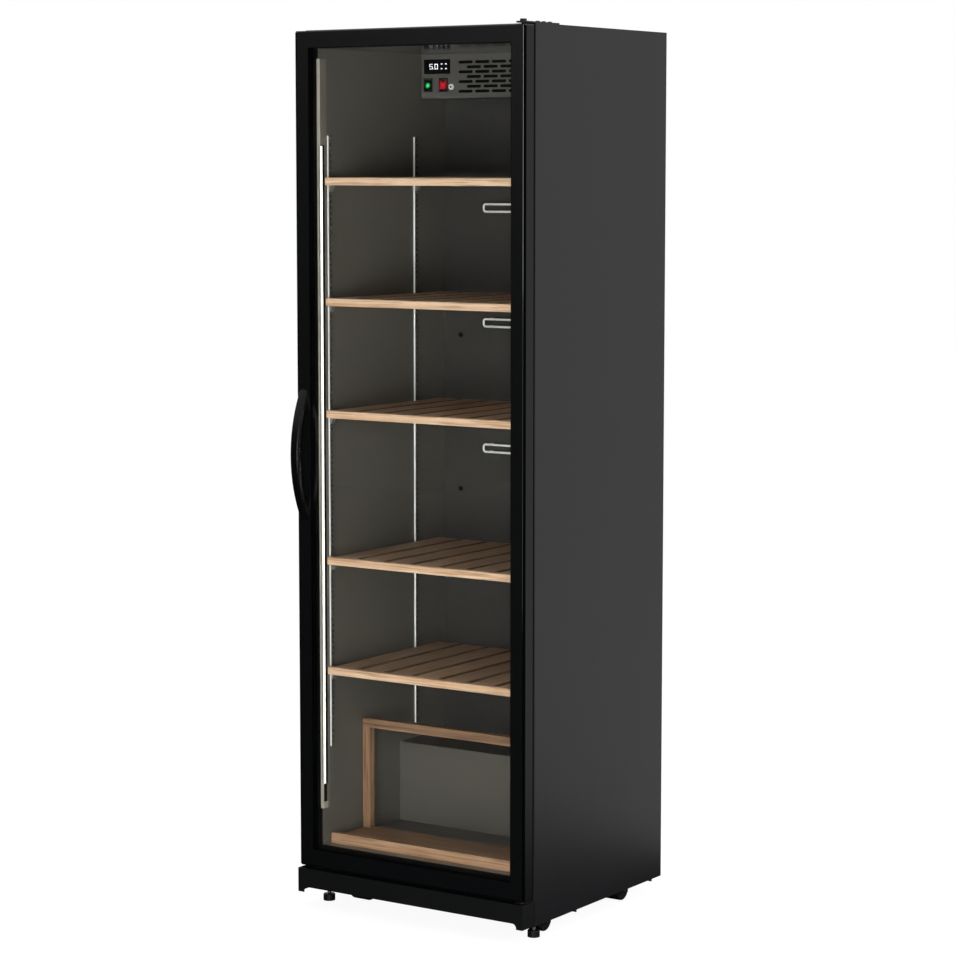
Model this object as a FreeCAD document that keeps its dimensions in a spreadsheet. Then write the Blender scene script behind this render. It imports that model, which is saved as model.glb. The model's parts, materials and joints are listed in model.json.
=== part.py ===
import FreeCAD, Part
import Sketcher
import math
import os

Vector = FreeCAD.Vector
Rotation = FreeCAD.Rotation
Placement = FreeCAD.Placement

# Driving sizes in millimetres, and angles in degrees
SIZES = {
    # Case
    "width": 595.0,
    "body_depth": 533.0,
    "body_height": 1903.0,
    "body_lift": 32.0,
    "sheet_steel": 1.0,
    "front_return": 34.5,
    "rear_return": 18.0,
    "fold_radius": 1.5,
    "pan_lift": 28.0,
    "pan_thickness": 1.5,
    "panel_play": 0.1,
    # Cold room
    "side_wall": 35.5,
    "top_wall": 40.0,
    "back_wall": 53.0,
    "floor_rise": 104.0,
    "liner_thickness": 2.0,
    "step_depth": 184.0,
    "step_height": 184.0,
    "step_foam": 38.0,
    # Door
    "door_side_gap": 1.0,
    "door_top_gap": 3.0,
    "door_rise": 61.0,
    "door_thickness": 33.0,
    "door_gap": 6.0,
    "stile_width": 34.0,
    "top_rail_width": 36.0,
    "bottom_rail_width": 38.0,
    "frame_wall": 2.0,
    "frame_edge_radius": 3.0,
    "lip_depth": 4.0,
    "rebate_width": 10.0,
    "glass_thickness": 4.0,
    "glass_cavity": 12.0,
    "glass_play": 2.0,
    "gasket_inset": 14.5,
    "gasket_width": 11.0,
    "key_leg": 46.0,
    "key_play": 0.3,
    "key_inner_play": 1.5,
    # Handle
    "handle_length": 287.0,
    "handle_reach": 36.0,
    "handle_bar": 13.0,
    "handle_width": 21.0,
    "handle_inset": 4.5,
    "handle_foot": 32.0,
    "handle_round": 4.0,
    # Hinges
    "pivot_inset": 14.5,
    "pivot_depth": 14.0,
    "pin_radius": 4.0,
    "pin_reach": 22.0,
    "pin_play": 0.05,
    "pin_hole_play": 1.0,
    "pin_head_radius": 7.0,
    "pin_head_height": 5.0,
    "hinge_thickness": 3.0,
    "hinge_half_width": 14.0,
    "hinge_tail": 91.0,
    "hinge_round": 12.0,
    "hinge_screw_start": 29.0,
    "hinge_screw_pitch": 23.0,
    "bracket_gap": 1.0,
    "bracket_drop": 19.0,
    "bracket_screw_drop": 11.0,
    "bracket_screw_spread": 18.0,
    # Screws
    "screw_radius": 2.0,
    "screw_play": 0.2,
    "screw_length": 12.0,
    "screw_head_radius": 4.5,
    "screw_head_height": 2.6,
    # Plinth
    "plinth_overhang": 1.0,
    "plinth_forward": 8.0,
    "plinth_bottom": 34.0,
    "plinth_top": 88.0,
    "plinth_sheet": 1.5,
    "plinth_leg_width": 16.0,
    "plinth_arch_rise": 12.0,
    "plinth_arch_radius": 10.0,
    "plinth_screw_depth": 14.4,
    "plinth_screw_height": 58.0,
    "plinth_bracket_low": 46.0,
    "plinth_bracket_high": 69.0,
    "plinth_bracket_reach": 30.0,
    "plinth_bracket_wall": 2.0,
    # Levelling feet
    "foot_inset": 23.5,
    "foot_setback": 35.0,
    "foot_radius": 13.3,
    "foot_height": 15.0,
    "foot_round": 2.0,
    "stem_radius": 4.0,
    "stem_height": 74.0,
    "stem_play": 0.08,
    "collar_radius": 8.0,
    "collar_height": 12.0,
    # Transport rollers
    "roller_radius": 25.0,
    "roller_width": 44.0,
    "roller_round": 3.0,
    "roller_bracket_inset": 65.5,
    "roller_front_setback": 79.0,
    "roller_rear_inset": 132.0,
    "roller_front_clear": 2.0,
    "roller_side_play": 1.0,
    "roller_play": 0.06,
    "axle_radius": 4.0,
    "axle_seat_play": 0.05,
    "axle_head": 2.0,
    "ear_thickness": 2.5,
    "ear_half_length": 16.0,
    "ear_margin": 9.0,
    "roller_plate_tail": 108.0,
    "roller_tab_drop": 38.0,
    "roller_tab_reach": 8.0,
    # Shelf supports and shelves
    "pilaster_width": 14.0,
    "pilaster_thickness": 4.0,
    "pilaster_front": 29.0,
    "pilaster_rear_inset": 125.0,
    "pilaster_rise": 35.0,
    "pilaster_drop": 187.0,
    "pilaster_slot_pitch": 12.5,
    "pilaster_slot_width": 5.0,
    "pilaster_slot_height": 6.0,
    "clip_reach": 9.0,
    "clip_toe": 2.5,
    "clip_width": 12.0,
    "clip_height": 14.0,
    "shelf_share_1": 0.8374,
    "shelf_share_2": 0.6879,
    "shelf_share_3": 0.5478,
    "shelf_share_4": 0.3627,
    "shelf_share_5": 0.2229,
    "shelf_thickness": 17.0,
    "shelf_front": 14.0,
    "shelf_back_gap": 49.0,
    "shelf_end_play": 6.0,
    "shelf_rail_depth": 15.0,
    "shelf_edge_round": 2.0,
    "slat_edge": 8.0,
    "slat_gap": 15.0,
    "slat_thickness": 10.0,
    "bearer_depth": 20.0,
    "bearer_end_play": 0.5,
    # Display rack
    "rack_front": 26.0,
    "rack_end_play": 4.0,
    "rack_lip_thickness": 14.0,
    "rack_lip_height": 23.0,
    "rack_board_thickness": 12.0,
    "rack_board_depth": 140.0,
    "rack_post_width": 18.0,
    "rack_post_depth": 20.0,
    "rack_height": 264.0,
    "rack_rail_height": 20.0,
    # Lamp
    "lamp_forward": 2.0,
    "lamp_flange": 8.0,
    "lamp_depth": 21.0,
    "lamp_thickness": 5.0,
    "lamp_rise": 83.0,
    "lamp_drop": 22.0,
    "lens_width": 4.5,
    "lens_depth": 11.0,
    "lens_rise": 56.0,
    "lens_drop": 188.0,
    # Cold unit under the ceiling
    "unit_depth": 93.0,
    "unit_height": 100.0,
    "unit_play": 0.5,
    "fascia_thickness": 2.0,
    "slot_web": 5.7,
    "slot_height": 6.8,
    "slot_row_pitch": 10.9,
    "slot_first": 121.3,
    "slot_last": 40.1,
    "slot_top": 19.0,
    "display_left": 7.5,
    "display_width": 72.0,
    "display_top": 11.5,
    "display_height": 33.0,
    "display_proud": 0.8,
    "display_depth": 16.0,
    "switch_top": 69.5,
    "switch_green": 19.0,
    "switch_red": 61.0,
    "switch_flange_width": 24.0,
    "switch_flange_height": 31.0,
    "switch_flange_proud": 1.5,
    "switch_sleeve_width": 21.0,
    "switch_sleeve_height": 28.0,
    "switch_sleeve_depth": 12.0,
    "switch_mouth_width": 18.6,
    "switch_mouth_height": 25.2,
    "cutout_play": 0.2,
    "rocker_side_play": 0.3,
    "rocker_half_height": 11.0,
    "rocker_heel": 9.0,
    "rocker_nose": 5.0,
    "rocker_valley": 3.6,
    "rocker_back": 3.0,
    "rocker_pivot_depth": 2.0,
    "rocker_tilt": 8.0,
    "rocker_pin_radius": 1.5,
    "rocker_pin_play": 0.06,
    "rocker_pin_reach": 1.1,
    "button_offset": 83.5,
    "button_top": 74.0,
    "button_radius": 6.5,
    "button_proud": 4.0,
    "button_depth": 9.0,
    "button_flange": 1.5,
    "button_flange_depth": 2.0,
    "button_play": 0.3,
    "button_sleeve_wall": 1.6,
    "button_sleeve_depth": 14.0,
    # Evaporator and its fan
    "coil_left_margin": 155.0,
    "coil_right_margin": 48.0,
    "coil_depth": 40.0,
    "coil_height": 80.0,
    "coil_back_play": 6.0,
    "coil_fin": 1.2,
    "coil_fin_pitch": 11.0,
    "coil_fin_reach": 4.0,
    "fan_margin": 203.0,
    "fan_frame_size": 92.0,
    "fan_frame_depth": 24.0,
    "fan_mouth_radius": 43.0,
    "fan_hub_radius": 18.0,
    "fan_back_wall": 4.0,
    "fan_spoke_width": 8.0,
    "fan_shaft_radius": 2.0,
    "fan_shaft_play": 0.05,
    "fan_tip_play": 2.0,
    "fan_hub_depth": 13.0,
    "fan_hub_gap": 0.5,
    "fan_blade_chord": 16.0,
    "fan_blade_thickness": 1.6,
    "fan_blade_pitch": 38.0,
    # Wire guards on the rear wall
    "guard_side_margin": 120.0,
    "guard_height": 17.0,
    "guard_wire": 2.5,
    "guard_corner": 6.0,
    "guard_reach": 16.0,
    "guard_leg_inset": 14.0,
    "guard_drop": 70.5,
    "guard_last_drop": 113.5,
    # Compressor
    "compressor_radius": 74.0,
    "compressor_height": 160.0,
    "compressor_dome": 34.0,
    "compressor_seam": 4.0,
    "compressor_seam_height": 3.0,
    "compressor_plate_length": 196.0,
    "compressor_plate_depth": 128.0,
    "compressor_plate_thickness": 4.0,
    "compressor_offset": 96.0,
    "suction_offset": 45.0,
    "suction_radius": 4.0,
    "discharge_offset": 40.0,
    "discharge_height": 112.0,
    "boss_radius": 5.0,
    "boss_reach": 77.0,
    "terminal_offset": 16.0,
    "terminal_width": 52.0,
    "terminal_low": 40.0,
    "terminal_height": 62.0,
    "terminal_reach": 92.0,
    "terminal_round": 5.0,
    "mount_radius": 10.0,
    "mount_height": 12.0,
    "mount_edge": 16.0,
    "inlet_width": 48.0,
    "inlet_height": 28.0,
    "inlet_depth": 22.0,
    "inlet_wall": 2.5,
    "inlet_lift": 120.0,
    "inlet_offset": 90.0,
    # Condenser on the back
    "condenser_reach": 28.0,
    "condenser_side_margin": 107.5,
    "condenser_rise": 110.0,
    "condenser_drop": 200.0,
    "condenser_tube": 2.5,
    "condenser_wire": 0.9,
    "condenser_wire_gap": 0.1,
    "condenser_wire_pitch": 34.0,
    "condenser_wire_overrun": 30.0,
    "strap_width": 14.0,
    # Pipes between the compressor and the condenser
    "pipe_bend": 15.0,
    "pipe_cross_rise": 40.0,
    "pipe_outlet_reach": 50.0,
    "drier_radius": 9.0,
    "drier_length": 90.0,
    "drier_inset": 60.0,
}

FAN_BLADES = 7
SHELVES = 5
SLATS = 7
SLOT_COLUMNS = 9
SLOT_ROWS = 4
CONDENSER_RUNS = 15
HINGE_SCREWS = 3

doc = FreeCAD.newDocument("WineCabinet")
sheet = doc.addObject("Spreadsheet::Sheet", "Sizes")
for row, (alias, number) in enumerate(SIZES.items(), start=1):
    sheet.set(f"A{row}", alias)
    sheet.set(f"B{row}", str(number))
    sheet.setAlias(f"B{row}", alias)
doc.recompute()


class Size:
    """A number that carries the sheet expression it comes from."""

    def __init__(self, text, value):
        self.text = text
        self.value = value

    def __neg__(self):
        return Size(f"(-{self.text})", -self.value)

    def __add__(self, other):
        other = as_size(other)
        return Size(f"({self.text} + {other.text})", self.value + other.value)

    def __sub__(self, other):
        other = as_size(other)
        return Size(f"({self.text} - {other.text})", self.value - other.value)

    def __mul__(self, other):
        other = as_size(other)
        return Size(f"({self.text} * {other.text})", self.value * other.value)

    def __truediv__(self, other):
        other = as_size(other)
        return Size(f"({self.text} / {other.text})", self.value / other.value)

    __radd__ = __add__
    __rmul__ = __mul__


class Dimensions:
    """Gives each named cell of the sheet as a Size."""

    def __init__(self, cells):
        self.cells = cells

    def __getattr__(self, alias):
        return Size(f"{self.cells.Name}.{alias}", float(self.cells.get(alias)))


def as_size(number):
    """Return a plain number as a Size, and a Size as it is."""
    return number if isinstance(number, Size) else Size(f"({number})", float(number))


ZERO = Size("0", 0.0)
d = Dimensions(sheet)

# Places worked out from the driving sizes: X across, Y to the back, Z up from the floor
half_width = d.width / 2
overall_depth = d.handle_reach + d.door_thickness + d.door_gap + d.body_depth + d.condenser_reach
door_front = d.handle_reach - overall_depth / 2
door_back = door_front + d.door_thickness
body_front = door_back + d.door_gap
body_back = body_front + d.body_depth
body_top = d.body_lift + d.body_height
shell_half = half_width - d.sheet_steel
shell_top = body_top - d.sheet_steel
pan_low = d.body_lift + d.pan_lift
pan_high = pan_low + d.pan_thickness
panel_back = body_back - d.sheet_steel
panel_front = panel_back - d.sheet_steel
inner_half = half_width - d.side_wall
inner_floor = d.body_lift + d.floor_rise
inner_top = body_top - d.top_wall
inner_back = body_back - d.back_wall
step_front = inner_back - d.step_depth
step_top = inner_floor + d.step_height
bay_front = step_front + d.liner_thickness + d.step_foam
bay_top = step_top - d.liner_thickness - d.step_foam
room_height = inner_top - inner_floor
door_half = half_width - d.door_side_gap
door_low = d.body_lift + d.door_rise
door_top = body_top - d.door_top_gap
door_height = door_top - door_low
pivot_x = half_width - d.pivot_inset
pivot_y = door_front + d.pivot_depth
unit_front = inner_back - d.unit_depth
unit_back = unit_front + d.fascia_thickness
unit_low = inner_top - d.unit_height

NODES = []
SIDES = (-1, 1)
TURN_TO = {
    "x": Rotation(Vector(0, 1, 0), 90),
    "y": Rotation(Vector(1, 0, 0), -90),
    "z": Rotation(),
}
PLANES = {"XY": "XY_Plane", "XZ": "XZ_Plane", "YZ": "YZ_Plane"}
TOLERANCE = 1e-4


def bind(thing, name, size):
    """Tie a property to the sheet."""
    thing.setExpression(name, as_size(size).text)


def node(thing, label):
    """Name a finished sub-part and keep it for export."""
    thing.Label = label
    NODES.append(thing)
    return thing


def block(name, x, y, z):
    """Return a box between two places on each axis."""
    box = doc.addObject("Part::Box", name)
    for side, (low, high) in zip(("Length", "Width", "Height"), (x, y, z)):
        bind(box, side, as_size(high) - low)
    for axis, (low, high) in zip("xyz", (x, y, z)):
        bind(box, f"Placement.Base.{axis}", low)
    return box


def rod(name, axis, start, radius, length):
    """Return a round bar that grows along an axis from the centre of its first end."""
    bar = doc.addObject("Part::Cylinder", name)
    bar.Placement = Placement(Vector(), TURN_TO[axis])
    bind(bar, "Radius", radius)
    bind(bar, "Height", length)
    for letter, place in zip("xyz", start):
        bind(bar, f"Placement.Base.{letter}", place)
    return bar


def together(name, things):
    """Return separate solids as one group."""
    group = doc.addObject("Part::Compound", name)
    group.Links = things
    return group


def fused(name, things):
    """Return several solids joined into one."""
    whole = doc.addObject("Part::MultiFuse", name)
    whole.Shapes = things
    whole.Refine = True
    return whole


def cut_from(name, base, tools):
    """Return a solid with other solids taken out of it."""
    result = doc.addObject("Part::Cut", name)
    result.Base = base
    result.Tool = tools[0] if len(tools) == 1 else fused(name + "Tools", tools)
    return result


def new_body(name):
    """Return an empty body."""
    return doc.addObject("PartDesign::Body", name)


def sketch_at(body, plane, place):
    """Return a sketch on one of the body's origin planes, moved to a place on the third axis."""
    role = PLANES[plane]
    support = next(item for item in body.Origin.OriginFeatures if item.Role == role)
    sketch = body.newObject("Sketcher::SketchObject", body.Name + "Sketch")
    sketch.AttachmentSupport = (support, [""])
    sketch.MapMode = "FlatFace"
    sketch.AttachmentOffset = Placement()
    bind(sketch, "AttachmentOffset.Base.z", -as_size(place) if plane == "XZ" else place)
    return sketch


def hold_point(sketch, curve, end, across, up):
    """Fix one point of a sketch curve by its distances from the origin."""
    for kind, place in (("DistanceX", across), ("DistanceY", up)):
        place = as_size(place)
        index = sketch.addConstraint(Sketcher.Constraint(kind, -1, 1, curve, end, place.value))
        bind(sketch, f"Constraints[{index}]", place)


def hold_radius(sketch, curve, radius):
    """Fix the radius of a circle or an arc."""
    radius = as_size(radius)
    index = sketch.addConstraint(Sketcher.Constraint("Radius", curve, radius.value))
    bind(sketch, f"Constraints[{index}]", radius)


def point(across, up):
    """Return a sketch point at the present values of two sizes."""
    return Vector(as_size(across).value, as_size(up).value, 0)


def outline(sketch, corners):
    """Draw a closed outline of straight lines."""
    first = sketch.GeometryCount
    count = len(corners)
    for index, corner in enumerate(corners):
        following = corners[(index + 1) % count]
        sketch.addGeometry(Part.LineSegment(point(*corner), point(*following)), False)
    for index, corner in enumerate(corners):
        before = first + (index - 1) % count
        sketch.addConstraint(Sketcher.Constraint("Coincident", before, 2, first + index, 1))
        hold_point(sketch, first + index, 1, *corner)


def rectangle(sketch, across, up):
    """Draw a rectangle between two places on each sketch axis."""
    (left, right), (low, high) = across, up
    outline(sketch, [(left, low), (right, low), (right, high), (left, high)])


def circle(sketch, across, up, radius):
    """Draw a circle."""
    curve = sketch.addGeometry(
        Part.Circle(point(across, up), Vector(0, 0, 1), as_size(radius).value), False)
    hold_point(sketch, curve, 3, across, up)
    hold_radius(sketch, curve, radius)


def slot(sketch, across, up, length, height):
    """Draw a level slot with round ends."""
    radius = height / 2
    reach = length / 2 - radius
    left, right = across - reach, across + reach
    quarter = math.pi / 2
    ends = []
    for place, start in ((left, quarter), (right, -quarter)):
        arc = Part.ArcOfCircle(
            Part.Circle(point(place, up), Vector(0, 0, 1), radius.value), start, start + math.pi)
        ends.append(sketch.addGeometry(arc, False))
    lines = []
    for level, (start, stop) in ((up + radius, (right, left)), (up - radius, (left, right))):
        lines.append(sketch.addGeometry(Part.LineSegment(point(start, level), point(stop, level)), False))
    sketch.addConstraint(Sketcher.Constraint("Tangent", lines[0], 2, ends[0], 1))
    sketch.addConstraint(Sketcher.Constraint("Tangent", ends[0], 2, lines[1], 1))
    sketch.addConstraint(Sketcher.Constraint("Tangent", lines[1], 2, ends[1], 1))
    sketch.addConstraint(Sketcher.Constraint("Tangent", ends[1], 2, lines[0], 1))
    hold_radius(sketch, ends[0], radius)
    hold_point(sketch, ends[0], 3, left, up)
    across_right = as_size(right)
    index = sketch.addConstraint(
        Sketcher.Constraint("DistanceX", -1, 1, ends[1], 3, across_right.value))
    bind(sketch, f"Constraints[{index}]", across_right)


def pad(body, plane, sketch, depth):
    """Raise a sketch along the positive third axis."""
    feature = body.newObject("PartDesign::Pad", body.Name + "Pad")
    feature.Profile = sketch
    feature.Reversed = plane == "XZ"
    bind(feature, "Length", depth)
    return feature


def pocket(body, plane, sketch, depth):
    """Cut a sketch along the positive third axis."""
    feature = body.newObject("PartDesign::Pocket", body.Name + "Pocket")
    feature.Profile = sketch
    feature.Reversed = plane != "XZ"
    bind(feature, "Length", depth)
    return feature


def raised(body, plane, place, depth, *rectangles):
    """Pad one sketch of rectangles, where a rectangle inside another is a hole."""
    sketch = sketch_at(body, plane, place)
    for across, up in rectangles:
        rectangle(sketch, across, up)
    return pad(body, plane, sketch, depth)


def extruded(body, plane, place, depth, corners):
    """Pad one outline."""
    sketch = sketch_at(body, plane, place)
    outline(sketch, corners)
    return pad(body, plane, sketch, depth)


def bored(body, plane, place, depth, holes):
    """Cut round holes, each given as across, up and radius."""
    sketch = sketch_at(body, plane, place)
    for across, up, radius in holes:
        circle(sketch, across, up, radius)
    return pocket(body, plane, sketch, depth)


def sunk(body, plane, place, depth, *rectangles):
    """Cut rectangles."""
    sketch = sketch_at(body, plane, place)
    for across, up in rectangles:
        rectangle(sketch, across, up)
    return pocket(body, plane, sketch, depth)


def rounded(body, radius, chosen):
    """Round the edges of the body that a test picks out."""
    doc.recompute()
    base = body.Tip
    names = [f"Edge{number}" for number, edge in enumerate(base.Shape.Edges, start=1) if chosen(edge)]
    feature = body.newObject("PartDesign::Fillet", body.Name + "Fillet")
    feature.Base = (base, names)
    bind(feature, "Radius", radius)
    return feature


def near(value, size):
    """Tell whether a coordinate lies at a size."""
    return abs(value - as_size(size).value) < TOLERANCE


def runs_along(edge, axis):
    """Tell whether an edge is straight and parallel to an axis."""
    if not isinstance(edge.Curve, Part.Line):
        return False
    return abs(abs(getattr(edge.Curve.Direction, axis)) - 1) < TOLERANCE


def middle(edge):
    """Return the middle of an edge."""
    return edge.CenterOfMass


def centred(middle_place, length):
    """Return the two ends of a length about its middle."""
    return (middle_place - length / 2, middle_place + length / 2)


def grown(ends, play):
    """Return two ends moved apart by a clearance on each side."""
    return (ends[0] - play, ends[1] + play)


def ring_of_bars(name, outer_x, outer_z, inner_x, inner_z, depth):
    """Return an upright frame of four bars between an outer and an inner rectangle."""
    bars = [
        block(name + "_bar", (outer_x[0], inner_x[0]), depth, outer_z),
        block(name + "_bar", (inner_x[1], outer_x[1]), depth, outer_z),
        block(name + "_bar", inner_x, depth, (outer_z[0], inner_z[0])),
        block(name + "_bar", inner_x, depth, (inner_z[1], outer_z[1])),
    ]
    return together(name, bars)


# Places of the fasteners, used by the holes and by the screws that fill them
screw_hole = d.screw_radius + d.screw_play
top_screws = [
    (pivot_x, body_front + d.hinge_screw_start + d.hinge_screw_pitch * index)
    for index in range(HINGE_SCREWS)
]
bracket_plate_high = door_low - d.bracket_gap
bracket_plate_low = bracket_plate_high - d.hinge_thickness
bracket_screw_z = bracket_plate_high - d.bracket_screw_drop
bracket_screws = [
    (pivot_x + d.bracket_screw_spread * (side / 2), bracket_screw_z) for side in SIDES
]
foot_x = half_width - d.foot_inset
foot_y = body_front + d.foot_setback


def case_panels():
    """Outer sheet metal: two wrapped sides, top, base pan and back."""
    for side, label in zip(SIDES, ("side_panel_left", "side_panel_right")):
        body = new_body(label)
        outer, inner = half_width * side, shell_half * side
        front_edge = (half_width - d.front_return) * side
        rear_edge = (half_width - d.rear_return) * side
        extruded(body, "XY", d.body_lift, shell_top - d.body_lift, [
            (outer, body_front), (front_edge, body_front),
            (front_edge, body_front + d.sheet_steel), (inner, body_front + d.sheet_steel),
            (inner, panel_back), (rear_edge, panel_back), (rear_edge, body_back), (outer, body_back),
        ])
        if side > 0:
            bored(body, "XZ", body_front, d.sheet_steel,
                  [(across, up, screw_hole) for across, up in bracket_screws])
        rounded(body, d.fold_radius,
                lambda edge: runs_along(edge, "z") and near(middle(edge).x, outer))
        node(body, label)

    flange_half = half_width - d.front_return - d.panel_play
    top = new_body("top_panel")
    raised(top, "XY", shell_top, d.sheet_steel, ((-half_width, half_width), (body_front, body_back)))
    raised(top, "XZ", body_front, d.sheet_steel, ((-flange_half, flange_half), (inner_top, shell_top)))
    bored(top, "XY", shell_top, d.sheet_steel, [(x, y, screw_hole) for x, y in top_screws])
    node(top, "top_panel")

    pan = new_body("base_pan")
    pan_front = body_front + d.sheet_steel
    raised(pan, "XY", pan_low, d.pan_thickness, ((-shell_half, shell_half), (pan_front, panel_back)))
    raised(pan, "XZ", body_front, d.sheet_steel, ((-flange_half, flange_half), (pan_low, inner_floor)))
    collars = sketch_at(pan, "XY", pan_high)
    for side in SIDES:
        circle(collars, foot_x * side, foot_y, d.collar_radius)
    pad(pan, "XY", collars, d.collar_height)
    bored(pan, "XY", pan_low, d.pan_thickness + d.collar_height,
          [(foot_x * side, foot_y, d.stem_radius + d.stem_play) for side in SIDES])
    node(pan, "base_pan")

    back = block("back_panel", (-shell_half, shell_half), (panel_front, panel_back), (bay_top, shell_top))
    node(back, "back_panel")

    bay = new_body("machine_bay_panel")
    extruded(bay, "YZ", -shell_half, shell_half * 2, [
        (bay_front - d.sheet_steel, pan_high), (bay_front, pan_high), (bay_front, bay_top),
        (panel_front, bay_top), (panel_front, bay_top + d.sheet_steel),
        (bay_front - d.sheet_steel, bay_top + d.sheet_steel),
    ])
    node(bay, "machine_bay_panel")


def liner():
    """Moulded inner walls of the cold room, with the step over the machine bay."""
    wall = d.liner_thickness
    start = body_front + d.sheet_steel
    sides = []
    for side in SIDES:
        body = new_body("liner_side")
        low_x = inner_half if side > 0 else -inner_half - wall
        extruded(body, "YZ", low_x, wall, [
            (start, inner_floor - wall), (step_front + wall, inner_floor - wall),
            (step_front + wall, step_top - wall), (inner_back + wall, step_top - wall),
            (inner_back + wall, inner_top + wall), (start, inner_top + wall),
        ])
        sides.append(body)
    node(together("liner_sides", sides), "liner_sides")
    across = (-inner_half, inner_half)
    node(block("liner_back", across, (inner_back, inner_back + wall), (step_top, inner_top)), "liner_back")
    node(block("liner_ceiling", across, (start, inner_back + wall), (inner_top, inner_top + wall)),
         "liner_ceiling")
    node(block("liner_floor", across, (start, step_front + wall), (inner_floor - wall, inner_floor)),
         "liner_floor")
    step = new_body("liner_step")
    extruded(step, "YZ", -inner_half, inner_half * 2, [
        (step_front, inner_floor), (step_front + wall, inner_floor),
        (step_front + wall, step_top - wall), (inner_back + wall, step_top - wall),
        (inner_back + wall, step_top), (step_front, step_top),
    ])
    node(step, "liner_step")


def insulation():
    """Foam that fills the space between the case and the liner."""
    wall = d.liner_thickness
    room_half = inner_half + wall
    start = body_front + d.sheet_steel
    whole = block("FoamBlock", (-shell_half, shell_half), (start, panel_front), (pan_high, shell_top))
    tools = [
        block("FoamRoom", (-room_half, room_half), (body_front, inner_back + wall),
              (step_top - wall, inner_top + wall)),
        block("FoamFloorRoom", (-room_half, room_half), (body_front, step_front + wall),
              (inner_floor - wall, step_top)),
        block("FoamBay", (-half_width, half_width), (bay_front - d.sheet_steel, body_back),
              (pan_low, bay_top + d.sheet_steel)),
    ]
    for side in SIDES:
        tools.append(rod("FoamCollarWell", "z", (foot_x * side, foot_y, pan_low),
                         d.collar_radius + d.screw_play, d.stem_height))
    for x, y in top_screws:
        tools.append(rod("FoamScrewWell", "z", (x, y, shell_top - d.screw_length),
                         screw_hole, d.screw_length + d.sheet_steel))
    for x, z in bracket_screws:
        tools.append(rod("FoamScrewWell", "y", (x, body_front, z), screw_hole, d.screw_length))
    node(cut_from("insulation_foam", whole, tools), "insulation_foam")


def plinth():
    """Kick plate folded round the front, its brackets and the arch between its two legs."""
    outer = half_width + d.plinth_overhang
    inner = outer - d.plinth_sheet
    front = door_front - d.plinth_forward
    back_of_front = front + d.plinth_sheet
    body = new_body("plinth")
    extruded(body, "XY", d.plinth_bottom, d.plinth_top - d.plinth_bottom, [
        (-outer, front), (outer, front), (outer, body_front), (inner, body_front),
        (inner, back_of_front), (-inner, back_of_front), (-inner, body_front), (-outer, body_front),
    ])
    arch_half = outer - d.plinth_leg_width
    arch_top = d.plinth_bottom + d.plinth_arch_rise
    sunk(body, "XZ", front, d.plinth_sheet, ((-arch_half, arch_half), (d.plinth_bottom, arch_top)))
    head_hole = d.screw_head_radius + d.screw_play
    side_y = door_front + d.plinth_screw_depth
    bored(body, "YZ", -outer, outer * 2, [(side_y, d.plinth_screw_height, head_hole)])
    rounded(body, d.plinth_arch_radius,
            lambda edge: runs_along(edge, "y") and near(abs(middle(edge).x), arch_half)
            and near(middle(edge).z, arch_top))
    node(body, "plinth")

    wall = d.plinth_bracket_wall
    brackets = []
    for side in SIDES:
        bracket = new_body("plinth_bracket")
        face = inner * side
        extruded(bracket, "XY", d.plinth_bracket_low, d.plinth_bracket_high - d.plinth_bracket_low, [
            (face, back_of_front), (face, body_front),
            (face - d.plinth_bracket_reach * side, body_front),
            (face - d.plinth_bracket_reach * side, body_front - wall),
            (face - wall * side, body_front - wall), (face - wall * side, back_of_front),
        ])
        low_x = face - wall if side > 0 else face
        bored(bracket, "YZ", low_x, wall, [(side_y, d.plinth_screw_height, screw_hole)])
        brackets.append(bracket)
    node(together("plinth_brackets", brackets), "plinth_brackets")


def screw(name, axis, seat, direction):
    """Pan-head screw whose head stands on its seat and whose shank points along a direction."""
    index = "xyz".index(axis)
    shank_start = list(seat)
    head_start = list(seat)
    if direction > 0:
        head_start[index] = seat[index] - d.screw_head_height
    else:
        shank_start[index] = seat[index] - d.screw_length
    return fused(name, [
        rod(name + "Shank", axis, shank_start, d.screw_radius, d.screw_length),
        rod(name + "Head", axis, head_start, d.screw_head_radius, d.screw_head_height),
    ])


def case_screws():
    """Screws of the two hinge fittings and the plinth."""
    hinge_seat = body_top + d.hinge_thickness
    screws = [screw("HingeScrew", "z", (x, y, hinge_seat), -1) for x, y in top_screws]
    bracket_seat = body_front - d.hinge_thickness
    screws += [screw("BracketScrew", "y", (x, bracket_seat, z), 1) for x, z in bracket_screws]
    bracket_face = half_width + d.plinth_overhang - d.plinth_sheet
    side_y = door_front + d.plinth_screw_depth
    for side in SIDES:
        seat = (bracket_face * side, side_y, d.plinth_screw_height)
        head = d.plinth_sheet
        head_x = bracket_face if side > 0 else -bracket_face - head
        shank_x = bracket_face - d.screw_length if side > 0 else -bracket_face
        screws.append(fused("PlinthScrew", [
            rod("PlinthScrewShank", "x", (shank_x, seat[1], seat[2]), d.screw_radius, d.screw_length),
            rod("PlinthScrewHead", "x", (head_x, seat[1], seat[2]), d.screw_head_radius, head),
        ]))
    node(together("case_screws", screws), "case_screws")


def levelling_feet():
    """Two front feet, each a round pad on a threaded stem."""
    for side, label in zip(SIDES, ("foot_left", "foot_right")):
        body = new_body(label)
        pad_sketch = sketch_at(body, "XY", ZERO)
        circle(pad_sketch, foot_x * side, foot_y, d.foot_radius)
        pad(body, "XY", pad_sketch, d.foot_height)
        rounded(body, d.foot_round,
                lambda edge: isinstance(edge.Curve, Part.Circle) and near(middle(edge).z, d.foot_height))
        stem = sketch_at(body, "XY", d.foot_height)
        circle(stem, foot_x * side, foot_y, d.stem_radius)
        pad(body, "XY", stem, d.stem_height - d.foot_height)
        node(body, label)


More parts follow.
